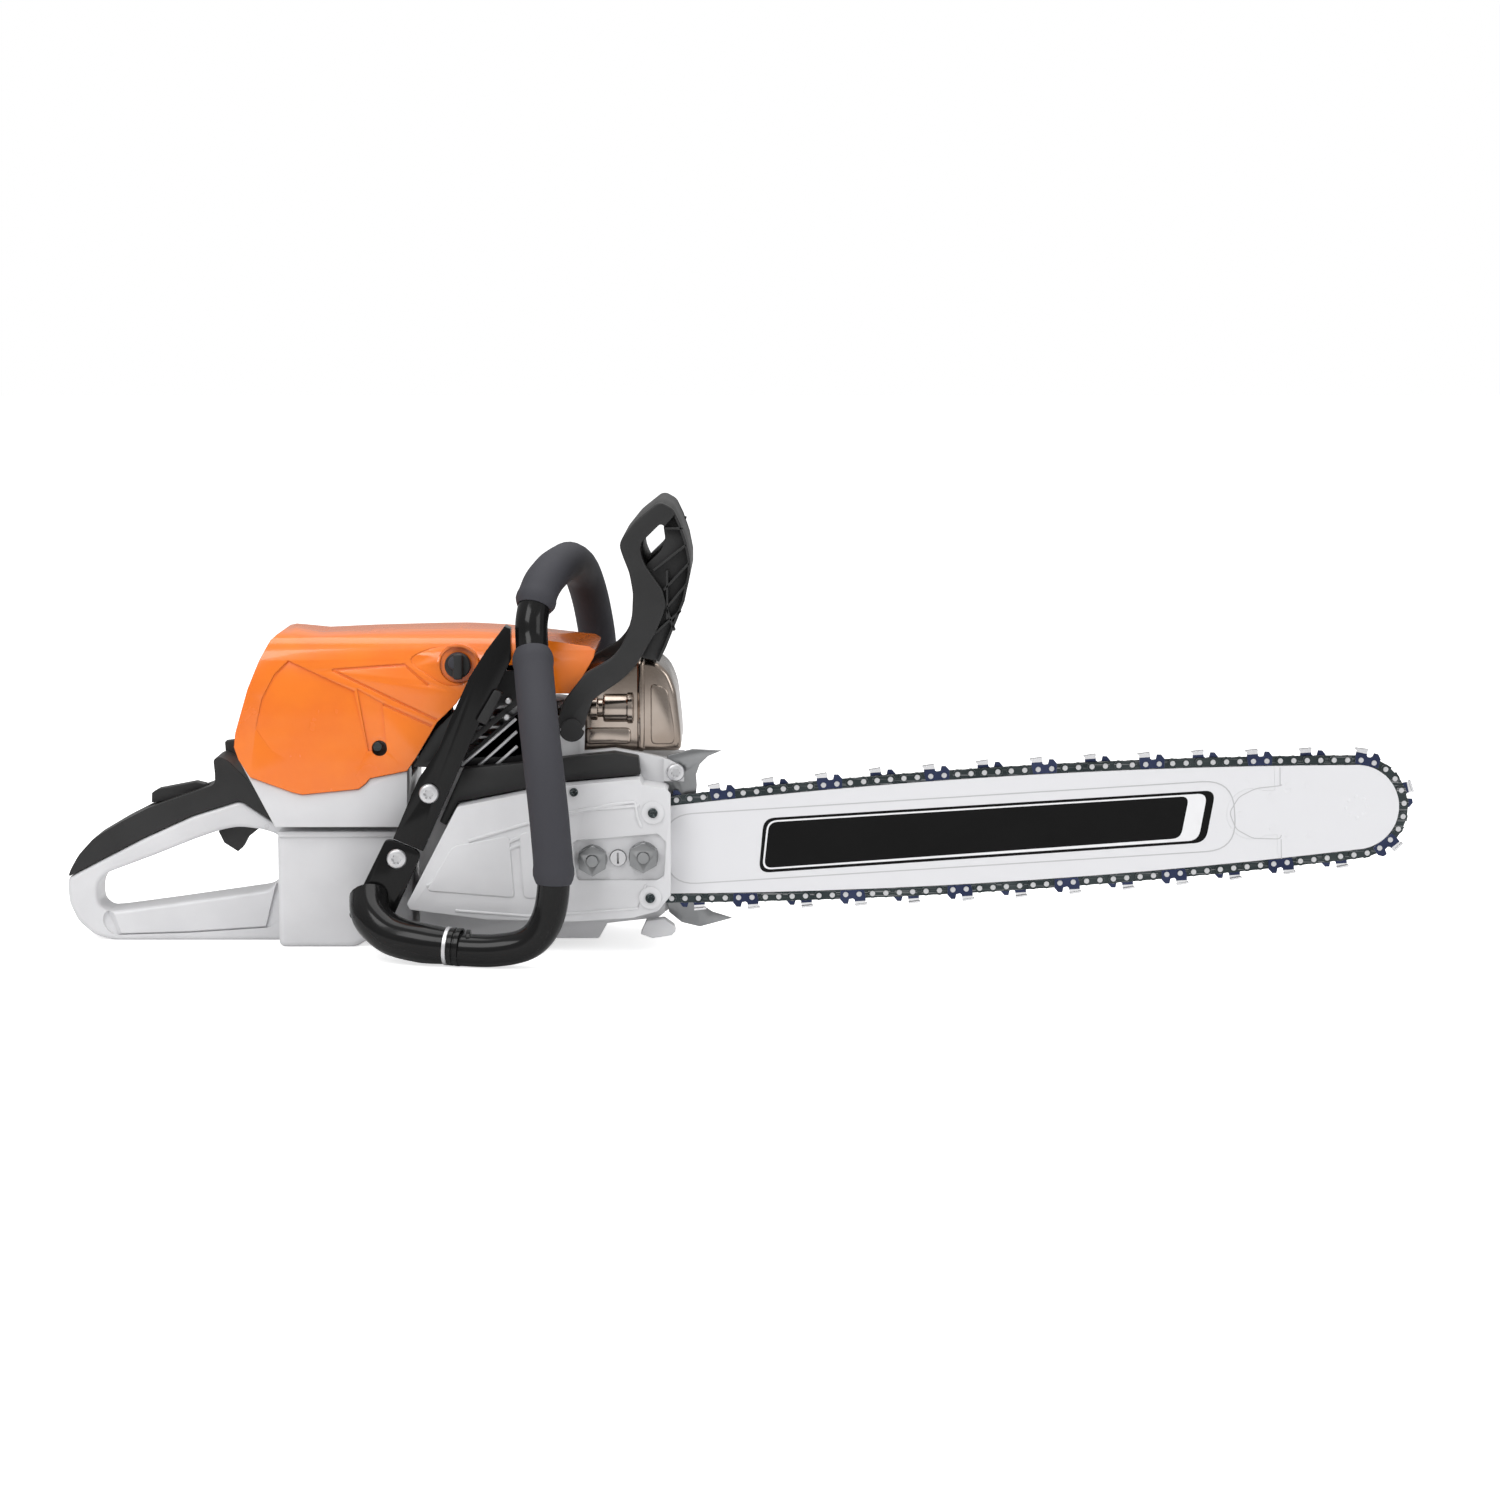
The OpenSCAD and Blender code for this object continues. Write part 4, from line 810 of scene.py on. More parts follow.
CERAMIC = Finish("glazed_ceramic", "white_ceramic", grey(0.8), grey(0.76), grey(0.8), roughness=0.2,
                 coat=0.6, scale=900, relief=0.004, wear=0.0, dust=0.0)

FINISHES = (PALE, CASTING, ORANGE, BLACK, ENAMEL, RUBBER, STEEL, OILED, BLUED, BRONZE, ALLOY, COAT,
            CLOTH, CERAMIC)

# Nodes whose finish isn't the first one of their slot
FINISH_OF_NODE = {"pivot_pins": BLACK, "bar_studs": ZINC, "tie_straps": OILED}


# ---------------------------------------------------------------- sub-assemblies


@dataclass
class Assembly:
    """A group of pieces that are built and dressed together."""

    body: str = "saw"
    pieces: list[bpy.types.Object] = field(default_factory=list)

    def add(self, obj: bpy.types.Object, finish: Finish, body: str | None = None) -> bpy.types.Object:
        """Gives a piece its finish and lets it ride on a body.

        Args:
            obj: the piece.
            finish: its finish.
            body: the body, if it isn't this group's own.

        Returns:
            The same piece.
        """
        obj.data.materials.clear()
        obj.data.materials.append(finish.material())
        for polygon in obj.data.polygons:
            polygon.material_index = 0
        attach(obj, body or self.body)
        self.pieces.append(obj)
        log.info("%s: %s, %d faces", type(self).__name__, obj.name, len(obj.data.polygons))
        return obj

    def build(self) -> None:
        """Builds and dresses the pieces."""
        raise NotImplementedError


def dress_frame() -> None:
    """Gives every CAD node the material of its slot."""
    by_slot = {finish.slot: finish for finish in reversed(FINISHES)}
    for part in frame["record"]["subparts"]:
        data = frame["nodes"][part["node"]].data
        data.materials.clear()
        finish = FINISH_OF_NODE.get(part["node"], by_slot[part["material_slot"]])
        data.materials.append(finish.material())


@dataclass
class FrontHandle(Assembly):
    """The bent tube of the front handle with its rubber sleeves, and the elbow with its plate."""

    sleeve: float = 2.4
    steps: int = 10
    route: list[Place] = field(default_factory=lambda: [
        (-74, 54.8, 15), (-74, 70, 15), (-68, 88, 16), (-45, 100, 22), (0, 101, 46), (38, 101, 90),
        (59, 100, 145), (64, 99, 195), (60, 95, 232), (53, 78, 260), (47, 40, 271), (43, 0, 272),
        (37, -40, 269), (30, -61, 259), (25, -75, 240), (25, -81, 222), (28, -98, 194), (32, -117, 164),
        (36, -129, 134), (40, -134, 96), (42, -135, 60), (37, -134, 34), (24, -132, 18),
        (0, -128, 12), (-30, -122, 12)])

    def build(self) -> None:
        """Builds the tube, both sleeves and the clamped elbow."""
        points = smooth_route(self.route, self.steps)
        pipe = self.add(tube("front_handle_tube", points, TUBE_R), ENAMEL)
        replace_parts(pipe, "handle_tube")
        first = self.add(self._sleeve("upper_sleeve", points[60:138]), RUBBER)
        second = self.add(self._sleeve("wrap_sleeve", points[152:201]), RUBBER)
        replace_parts(first, "grip_sleeves")
        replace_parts(second, "grip_sleeves")
        self._elbow()

    def _sleeve(self, name: str, points: list[Vector]) -> bpy.types.Object:
        """Builds a sleeve with rounded lips at its ends."""
        last = len(points) - 1
        lip = {0: 0.87, 1: 0.965, 2: 1.03, 3: 1.03, 4: 0.99}
        scales = [lip.get(min(k, last - k), 0.985) for k in range(last + 1)]
        return tube(name, points, TUBE_R + self.sleeve + 0.2, scales, 10)

    def _elbow(self) -> None:
        """Builds the cast elbow that holds the tube's lower end, and its bolted plate."""
        route = [(-28, -122, 13.6), (-52, -117, 15.5), (-74, -108, 20), (-88, -97, 31), (-91, -84, 43)]
        points = smooth_route(route, 8)
        scales = [1.0 if k < 4 else min(1.08, 1 + (k - 3) * 0.02) for k in range(len(points))]
        elbow = tube("handle_elbow", points, TUBE_R + 1.5, scales, 8)
        plate = slab("plate", softened([(-106, 29), (-100, 24), (-76, 24), (-53, 74.5), (-74, 83.3),
                                        (-79, 83.3)], 6), -86, -80, edge=1.2)
        combine(elbow, plate)
        arm = slab("arm", softened([(-98, 34), (-80, 34), (-64, 70), (-74, 76), (-80, 76)], 4), -81, -50.1,
                   edge=1)
        combine(elbow, arm)
        self.add(settle(elbow, "handle_elbow"), ENAMEL)
        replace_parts(elbow, "handle_bracket")
        mouth = points[0] - points[1]
        back = mouth.normalized()
        wide = TUBE_R + 1.9
        collar = [(0, TUBE_R + 0.9), (0.4, wide), (3.2, wide), (3.6, wide - 1), (4.6, wide - 1), (5.0, wide),
                  (7.8, wide), (8.2, TUBE_R + 0.4)]
        self.add(turned("elbow_collar", collar, points[0] - back * 0.003, mouth, 48), ENAMEL)
        for name, low, high, centre, direction, finish in (
                ("elbow_ring", TUBE_R + 1.6, TUBE_R + 2, points[0] - back * 0.0062, mouth, STEEL),
                ("tube_ring", TUBE_R + 0.1, TUBE_R + 0.45, points[0] + Vector((0.0085, 0, 0)),
                 Vector((1, 0, 0)), ENAMEL)):
            self.add(turned(name, [(0, low), (0.3, high), (2.6, high), (2.9, low)], centre, direction, 48),
                     finish)


@dataclass
class RearHandle(Assembly):
    """Fuel tank with the rear handle's pale lower half, and its black upper half."""

    edge: float = 5.5
    seam: list[Point] = field(default_factory=lambda: [
        (-315.5, 46), (-309, 49.5), (-289, 60), (-261, 74.5), (-225, 91), (-190, 102), (-166, 86)])

    def build(self) -> None:
        """Builds both halves of the handle and the tank."""
        self._lower()
        self._upper()

    def _slots(self, obj: bpy.types.Object) -> None:
        """Cuts the room for the trigger and for the lockout."""
        for outline in ([(-212, 72), (-170, 72), (-170, 96), (-192, 110), (-212, 104)],
                        [(-259, 92), (-214, 98), (-214, 120), (-259, 120)]):
            combine(obj, slab("room", outline, -6.6, 6.6), "DIFFERENCE")

    def _hole(self, low: float, high: float, grow: float) -> bpy.types.Object:
        """Builds a solid that fills the handle's opening."""
        opening = [(-288, 49), (-252, 62.5), (-222, 74.5), (-203, 81), (-191, 83), (-174, 81), (-163, 77),
                   (-161, 70), (-160.5, 46.7), (-170, 37), (-198, 33), (-240, 27), (-277, 22), (-288, 21),
                   (-294, 26), (-295, 33), (-294, 42)]
        return slab("opening", softened(opening, 5 + grow), low, high)

    def _lower(self) -> None:
        """Builds the tank and the handle's ring in one moulding."""
        outline = [(-284, 0), (-297, 3.5), (-309, 14), (-315, 27), (-316, 38)]
        outline += [(x, z - 0.2) for x, z in self.seam] + [(-158, 84), (-158, 0)]
        ring = slab("tank_and_handle", softened(outline, 4), -HALF_HANDLE, HALF_HANDLE)
        combine(ring, self._hole(-40, 40, 0), "DIFFERENCE")
        mend(ring)
        round_edges(ring, self.edge, 4, 50)
        self._slots(ring)
        tank = slab("tank", softened([(-160, 0), (-104, 0), (-97, 5), (-64, 5), (-64, 84), (-160, 84)], 5),
                    -HALF_TANK, HALF_TANK, edge=4, steps=3)
        combine(ring, tank)
        ledge = slab("ledge", [(-159, 80), (-64, 80), (-64, 84), (-159, 84)], -HALF_TANK - 2, HALF_TANK + 2,
                     edge=0.8)
        combine(ring, ledge)
        foot = turned("foot", [(0, TUBE_R + 3.4), (3, TUBE_R + 2.4), (7, TUBE_R + 2)], at(-74, 47, 15),
                      Vector((0, 1, 0)))
        combine(ring, foot)
        neck = turned("neck", [(0, 24), (1, 22), (4, 22)], at(-120, 47, 46), Vector((0, 1, 0)), 64)
        combine(ring, neck)
        combine(ring, turned("filler", [(0, 17.05), (20, 17.05)], at(-120, 38, 46), Vector((0, 1, 0)), 64),
                "DIFFERENCE")
        arm = softened([(-290, 21), (-229, 29.4), (-172, 37), (-163.5, 43.5), (-163, 17.8), (-168.7, 9.4),
                        (-226, 5.6), (-284, 3.8), (-291, 12)], 4)
        for side in Side:
            pocket(ring, arm, side, [2.2] * len(arm), surface_of(ring), 40.0)
        self.add(settle(ring, "tank_and_handle"), PALE)
        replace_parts(ring, "tank_housing")

    def _upper(self) -> None:
        """Builds the black upper half, with its thumb rest."""
        outline = [(x, z + 0.2) for x, z in reversed(self.seam)]
        outline += [(-313.5, 52), (-307.5, 62.5), (-296.4, 74.7), (-275.6, 87), (-256, 97), (-216, 111.2),
                    (-208, 114), (-208, 122), (-209, 132), (-204.5, 134.3), (-198, 131.3), (-184, 116.7),
                    (-173, 100)]
        upper = slab("handle_upper", softened(outline, 3), -HALF_HANDLE, HALF_HANDLE)
        apply_modifier(upper, "BEVEL", width=0.0055, segments=4, limit_method="ANGLE",
                       angle_limit=radians(60), use_clamp_overlap=True)
        self._slots(upper)
        self.add(settle(upper, "handle_upper"), BLACK)
        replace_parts(upper, "handle_moulding")


@dataclass
class TopCover(Assembly):
    """The big orange cover over the air filter and the cylinder."""

    deep: float = 2.1
    line: float = 1.0

    def build(self) -> None:
        """Builds the cover with the pressed relief of both sides."""
        cover = copy_of("top_cover", "orange_cover")
        for side in Side:
            self._relief(cover, side)
        round_edges(cover, 0.45, 2, 35)
        self.add(settle(cover, "orange_cover", 40), ORANGE)
        for side in Side:
            face = side.value * HALF_COVER
            bolt = turned("cover_bolt", [(0, 3.4), (1.6, 3.4), (2, 3.0)],
                          at(-86.5, face - side.value * 3.4, 146), side.out, 24)
            self.add(settle(bolt, f"cover_bolt_{side.label}"), OILED)

    def _relief(self, cover: bpy.types.Object, side: Side) -> None:
        """Cuts the dished field, the screw channel, the eye round the lock and the lines."""
        deep = self.deep
        plain = surface_of(frame["nodes"]["top_cover"])
        pocket(cover, [(-149.4, 207.1), (-102.4, 186), (-93, 144), (-99.6, 131.2), (-127.4, 121.5),
                       (-159, 139.8), (-172.5, 159), (-167.9, 180.4), (-159.1, 197.4)], side,
               [deep, deep, 0.6, 0, 0, 0, 0.3, 1.0, 1.6], plain)
        pocket(cover, [(-100.4, 187.5), (-82.5, 177.5), (-79.5, 143), (-92.8, 143)], side,
               [1.2, 1.2, 2.1, 2.1], plain)
        eye = softened([(-66, 208), (-50, 215.5), (-33, 217.5), (-19, 214), (-12.5, 207), (-17.2, 196),
                        (-27, 189.4), (-38, 189.4), (-50, 196.5)], 8, 4)
        pocket(cover, eye, side, [0.3 + min(1.7, (x + 68) / 20) for x, _ in eye], plain)
        for points in ([(-117.8, 200.6), (-66.9, 204.2), (-56.3, 195.2), (-50, 190)],
                       [(-117.8, 200.4), (-83, 184), (-44, 165.4)], [(-82, 176.5), (-47.5, 160.8)]):
            line = strip(points, 1.6)
            pocket(cover, line, side, [self.line] * len(line), plain, 5.0)


@dataclass
class Shell(Assembly):
    """A housing that keeps its CAD shape, with rounded edges."""

    node: str = ""
    finish: Finish = PALE
    edge: float = 0.8
    steps: int = 2

    def build(self) -> None:
        """Copies the CAD node with rounded edges."""
        self.add(copy_of(self.node, self.node + "_shell", self.edge, self.steps), self.finish)


@dataclass
class Fasteners(Assembly):
    """The bar nuts and the screws with star-shaped sockets."""

    nut_r: float = 10.97

    def build(self) -> None:
        """Builds one nut and its copy, and the screws."""
        places = ((66.9, 69.5), (102.8, 71.8))
        x, z = places[0]
        corners = [(x + self.nut_r * cos(radians(turn)), z + self.nut_r * sin(radians(turn)))
                   for turn in range(30, 390, 60)]
        nut = slab("bar_nut_rear", corners, -94.4, -86)
        out = Vector((0, -1, 0))
        combine(nut, turned("cone", [(-1, 14), (7, 11.6), (9.5, 7.6)], at(x, -86, z), out, 64), "INTERSECT")
        combine(nut, turned("collar", [(0, 10.4), (1.4, 10.4), (1.8, 10)], at(x, -85.4, z), out, 64))
        combine(nut, turned("bore", [(0, 4.02), (20, 4.02)], at(x, -80, z), out, 48), "DIFFERENCE")
        round_edges(nut, 0.25, 2, 20)
        self.add(settle(nut, "bar_nut_rear"), ZINC)
        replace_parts(nut, "bar_nuts")
        shift = Vector((places[1][0] - x, 0, places[1][1] - z)) / 1000
        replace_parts(self.add(repeat(nut, "bar_nut_front", shift), ZINC), "bar_nuts")
        for name, place, radius, inner, outer in (
                ("elbow_screw", (-71, 70), 7, -78, -89.4), ("strap_screw", (-48, 116), 7, -76, -87.4),
                ("spike_screw", (125.0, 128.0), 6.4, -51.6, -63),
                ("handle_screw", (-171, 83.5), 2.4, -17, -19.1)):
            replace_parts(self._screw(name, place, radius, inner, outer), "torx_screws")

    def _screw(self, name: str, place: Point, radius: float, inner: float, outer: float) -> bpy.types.Object:
        """Builds a screw with a domed head and a star-shaped socket."""
        head = min(3.4, inner - outer)
        out = Vector((0, -1, 0))
        x, z = place
        dome = [(0, radius), (head * 0.45, radius), (head * 0.8, radius * 0.9), (head, radius * 0.66)]
        screw = turned(name, dome, at(x, outer + head, z), out, 48)
        if inner - outer > head + 0.5:
            combine(screw, turned("shank", [(0, 2.9), (inner - outer - 1, 2.9)], at(x, inner, z), out, 32))
        star = []
        for turn in (k * pi / 24 for k in range(48)):
            reach = radius * (0.44 + 0.09 * cos(6 * turn))
            star.append((x + reach * cos(turn), z + reach * sin(turn)))
        combine(screw, slab("star", star, outer - 1, outer + head * 0.8), "DIFFERENCE")
        round_edges(screw, 0.15, 2, 30)
        return self.add(settle(screw, name), STEEL)


@dataclass
class CoverLock(Assembly):
    """A quarter-turn lock of the top cover: a round body with a grip bar and a raised button."""

    side: Side = Side.RIGHT
    centre: Point = (-29.0, 204.0)

    def build(self) -> None:
        """Builds the lock on its own body."""
        label = self.side.label
        name = f"cover_lock_{label}"
        out = self.side.out
        x, z = self.centre
        start = self.side.value * 54
        lock = turned("lock", [(0, 8.4), (0.6, 9.2), (5.6, 9.2), (6.4, 8.4)], at(x, start, z), out, 48)
        low, high = sorted((start, start + self.side.value * 11.2))
        bar = [(x - 3, z - 9.6), (x + 4, z - 9.6), (x + 4, z + 8.6), (x - 3, z + 8.6)]
        combine(lock, slab("bar", softened(bar, 2.6), low, high, edge=1.2, steps=3))
        combine(lock, turned("stem", [(0, 5.4), (19, 5.4)], at(x, self.side.value * 36.4, z), out, 32))
        round_edges(lock, 0.4, 2, 50)
        lock = self.add(settle(lock, f"lock_knob_{label}"), BLACK, f"lock_{label}")
        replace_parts(lock, name)
        button = turned(f"lock_button_{label}", [(0, 5), (3.2, 5), (4.2, 4.5), (4.7, 3.4)],
                        at(x - 1.5, start + self.side.value * 6.4, z + 2.2), out, 32)
        self.add(button, RUBBER, f"lock_{label}")


@dataclass
class CoolingRibs(Assembly):
    """The bright ribs that show behind the handle strap, and the clip on the strap's edge."""

    def build(self) -> None:
        """Builds the ribs and the clip."""
        lines = [[(-27, 132.5), (-10, 147), (12, 166)], [(-15, 132), (12.5, 157)],
                 [(-3.5, 132), (12.8, 146.5)]]
        for k, line in enumerate(lines):
            rib = slab(f"cooling_rib_{k}", strip(line, 2.4), -58.6, -55.5, edge=0.7, steps=3)
            self.add(rib, STEEL)
        clip = slab("strap_clip", softened([(-14, 168), (-1, 190), (5, 187.5), (-7, 164.5)], 2), -88.5, -83.6,
                    edge=1.0, steps=3)
        self.add(clip, BLACK)
        for k, (x, z) in enumerate(((6.8, 179), (5.6, 167.5))):
            bead = turned(f"clip_bead_{k}", [(0, 2.2), (5, 2.2), (5.8, 1.6)], at(x, -58, z),
                          Side.RIGHT.out, 24)
            self.add(bead, STEEL)


@dataclass
class BarDress(Assembly):
    """The plain painted panel on both faces of the guide bar, and the marks round its nose."""

    thickness: float = 4.0

    def along(self, u: float, v: float) -> Point:
        """Turns a place along the bar and above its middle into the drawing's x and z."""
        turn = radians(BAR_TILT)
        return (CRANK_X + u * cos(turn) - v * sin(turn), CRANK_Z + u * sin(turn) + v * cos(turn))

    def build(self) -> None:
        """Builds the panels, the shallow line round them and the nose marks."""
        black = [(178, 18.5), (499, 18.5), (490, -18.5), (172, -20.5)]
        white = [(180.5, 16.6), (493, 16.6), (485, -16.6), (174.5, -18.4)]
        field_edge = [(181.6, 15.4), (480, 15.4), (472.5, -14.4), (176, -17.2)]
        for side in Side:
            face = BAR_Y + side.value * self.thickness / 2
            for name, corners, radius, high, finish in (
                    ("panel", black, 8, 0.08, PANEL), ("panel_line", white, 7, 0.12, LINE),
                    ("panel_field", field_edge, 6, 0.16, PANEL)):
                outline = softened([self.along(*p) for p in corners], radius, 6)
                self._flat(f"bar_{name}", outline, face, high, side, finish)
            ring = slab("ring", softened([self.along(*p) for p in (
                (106, 25.5), (512, 25.5), (512, -25.5), (106, -25.5))], 22, 8), face - 0.05, face + 0.05)
            inner = slab("inner", softened([self.along(*p) for p in (
                (107, 24.7), (511.2, 24.7), (511.2, -24.7), (107, -24.7))], 21.4, 8), face - 1, face + 1)
            combine(ring, inner, "DIFFERENCE")
            self.add(settle(ring, f"bar_pressed_line_{side.label}"), ALLOY)
            self._insert(face, side)
            for k in range(8):
                turn = radians(k * 45)
                place = self.along(BAR_REACH + 7.5 * cos(turn), 7.5 * sin(turn))
                dot = turned("dot", [(0, 1.5), (0.12, 1.3)], at(place[0], face, place[1]), side.out, 16)
                self.add(settle(dot, f"nose_mark_{side.label}_{k}"), COAT)

    def _insert(self, face: float, side: Side) -> None:
        """Builds the faint outline and the rivets of the bar's nose insert."""
        edge = softened([(556, 120.5), (553.8, 119), (536.2, 117), (524.4, 111), (517.8, 99.7), (522.8, 87.7),
                         (534.9, 81.2), (554.8, 80.8)], 3, 3)
        name = side.label
        for label, points in (("curve", edge[4:]), ("seam_top", [(553.1, 132), (553.4, 119.2)]),
                              ("seam_low", [(554.8, 80.6), (555.3, 66.5)])):
            line = slab(f"insert_{label}_{name}", strip(points, 0.7), face - 0.04, face + 0.04)
            self.add(line, ALLOY)
        for k, (x, z) in enumerate(((546.3, 111.8), (573.2, 119.0), (525.4, 98.5), (547.9, 88.9),
                                    (559.5, 82.4), (573.9, 83.6), (558.9, 115.8))):
            rivet = turned(f"insert_rivet_{name}_{k}", [(0, 2.3), (0.1, 2.1)], at(x, face, z), side.out, 20)
            self.add(rivet, COAT)

    def _flat(self, name: str, outline: list[Point], face: float, high: float, side: Side,
              finish: Finish) -> None:
        """Builds one thin layer on a face of the bar."""
        outer = face + side.value * high
        self.add(slab(f"{name}_{side.label}", outline, min(face, outer), max(face, outer)), finish)


@dataclass
class ChainTeeth(Assembly):
    """The cutters, with bright top plates on dark blue bodies."""

    plate_high: float = 3.4
    plate_share: float = 0.56

    def build(self) -> None:
        """Copies the cutters and gives the raised rear of each one a bright finish."""
        teeth = self.add(copy_of("cutters", "chain_teeth"), BLUED)
        teeth.data.materials.append(CHROME.material())
        mesh = bmesh.new()
        mesh.from_mesh(teeth.data)
        for tooth in self._islands(mesh):
            self._plate(mesh, tooth)
        mesh.to_mesh(teeth.data)
        mesh.free()
        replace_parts(teeth, "cutters")

    @staticmethod
    def _islands(mesh: bmesh.types.BMesh) -> list[list[bmesh.types.BMFace]]:
        """Sorts the faces into separate teeth."""
        mesh.faces.ensure_lookup_table()
        seen: set[int] = set()
        teeth = []
        for first in mesh.faces:
            if first.index in seen:
                continue
            seen.add(first.index)
            tooth, edge = [], [first]
            while edge:
                face = edge.pop()
                tooth.append(face)
                for other in (f for e in face.edges for f in e.link_faces if f.index not in seen):
                    seen.add(other.index)
                    edge.append(other)
            teeth.append(tooth)
        return teeth

    def _plate(self, mesh: bmesh.types.BMesh, tooth: list[bmesh.types.BMFace]) -> None:
        """Splits a tooth round its top plate and gives the plate the bright finish."""
        start = at(*CRANK_DRAWN)
        along = Vector((cos(radians(BAR_TILT)), 0, sin(radians(BAR_TILT))))
        points = {v for face in tooth for v in face.verts}
        middle = sum((v.co for v in points), Vector()) / len(points)
        share = min(max((middle - start).dot(along), 0.0), BAR_REACH / 1000)
        out = middle - start - along * share
        out.y = 0
        out.normalize()
        ahead = Vector((out.z, 0, -out.x))
        top = max(v.co.dot(out) for v in points) - self.plate_high / 1000
        rear = min(v.co.dot(ahead) for v in points)
        front = max(v.co.dot(ahead) for v in points)
        limit = rear + (front - rear) * self.plate_share
        faces = tooth
        for normal, level in ((out, top), (ahead, limit)):
            parts = {e for f in faces for e in f.edges} | {v for f in faces for v in f.verts} | set(faces)
            made = bmesh.ops.bisect_plane(mesh, geom=list(parts), plane_co=normal * level, plane_no=normal)
            faces = list({g for g in made["geom"] if isinstance(g, bmesh.types.BMFace)})
        for face in faces:
            centre = face.calc_center_median()
            if centre.dot(out) > top and centre.dot(ahead) < limit:
                face.material_index = 1


@dataclass
class HandGuard(Assembly):
    """The front hand guard: two bowed arms, a ribbed blade between them and an open window."""

    body: str = "guard"
    inner: float = 62.0
    outer: float = 70.0
    rear: list[Point] = field(default_factory=lambda: [
        (42.5, 160), (42.6, 168), (45.8, 179.1), (53.7, 189.5), (62.2, 200), (79.8, 209.8), (86.3, 216.9),
        (91.5, 228), (94.8, 240.4), (95.5, 256), (93, 270.3), (87.9, 283.3), (86, 289.7), (87.9, 294.9),
        (98.3, 307.9), (112.6, 319.3), (116.5, 319.6), (123.6, 315.6), (125.5, 311.7)])
    front: list[Point] = field(default_factory=lambda: [
        (117.7, 302.7), (115.1, 305), (102.1, 292.3), (100.8, 288.4), (101.5, 282), (104.7, 274.8),
        (116.3, 258.6), (118.9, 248.2), (116.2, 239.1), (111, 227.4), (103.2, 214.3), (96.6, 203.9),
        (87.5, 194.8), (71.8, 184.3), (66.6, 180.4), (63, 170), (60.5, 160)])
    web: list[Point] = field(default_factory=lambda: [
        (116.8, 303.2), (123.4, 315.3), (128.6, 304.9), (133.1, 291.9), (135.7, 279), (135.7, 269.8),
        (131.7, 250.3), (126.5, 237.3), (118.6, 217.7), (113.4, 207.2), (100, 210.1), (107, 226.8),
        (112, 238.6), (114.7, 247.7), (112, 256.1), (104.1, 275), (114.9, 285.4), (118.2, 293.2)])

    def build(self) -> None:
        """Builds the arms, the blade and the stiffening ribs."""
        boss = arc((52, 160), 9.2, 0, -180, 12)
        outline = softened(self.rear + self.front, 3, 2) + boss[1:-1]
        for side in Side:
            low, high = side.span(self.inner, self.outer)
            arm = slab("arm", outline, low, high, edge=1.8, steps=3)
            hole = turned("pin_hole", [(0, 4.1), (20, 4.1)], at(52, low - 5, 160), Side.LEFT.out, 32)
            combine(arm, hole, "DIFFERENCE")
            arm = self.add(settle(arm, f"guard_arm_{side.label}"), BLACK)
            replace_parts(arm, "hand_guard")
            self._ribs(side)
        blade = softened(self.rear[7:] + self.front[:9] + [(112, 240)], 3, 2)
        self.add(slab("guard_blade", blade, -self.inner - 0.5, self.inner + 0.5, edge=1.0), BLACK)
        middle = self.web[:8] + [(123, 229), (111, 232)] + self.web[-6:]
        self.add(slab("guard_core", softened(middle, 2, 2), -self.inner + 2, self.inner - 2, edge=0.8), BLACK)
        for side in Side:
            low, high = side.span(self.inner - 4, self.inner - 0.6)
            web = slab(f"guard_web_{side.label}", softened(self.web, 2, 2), low, high, edge=0.5)
            self.add(web, BLACK)

    def _ribs(self, side: Side) -> None:
        """Builds the crossed ribs at one end of the blade."""
        low, high = side.span(self.inner - 2.5, self.outer - 2)
        lines = [[(119.5, 272), (119.5, 237.5)], [(109.8, 272), (133, 290)], [(108.8, 226), (129, 243.5)],
                 [(117.8, 248.6), (124.6, 229.5)], [(117, 258), (135, 277)], [(119.4, 246), (133, 262)],
                 [(117.5, 301.5), (131, 301.5)]]
        for k, line in enumerate(lines):
            rib = slab(f"guard_rib_{side.label}_{k}", strip(line, 1.7), low, high, edge=0.3)
            self.add(rib, BLACK)
        edge = [(123.4, 314.2), (128.0, 304.6), (132.4, 291.7), (134.9, 279), (134.9, 269.9), (130.9, 250.6),
                (125.7, 237.6), (117.8, 218), (112.9, 207.8)]
        rim = slab(f"guard_rim_{side.label}", strip(edge, 1.9), low, high, edge=0.3)
        self.add(rim, BLACK)


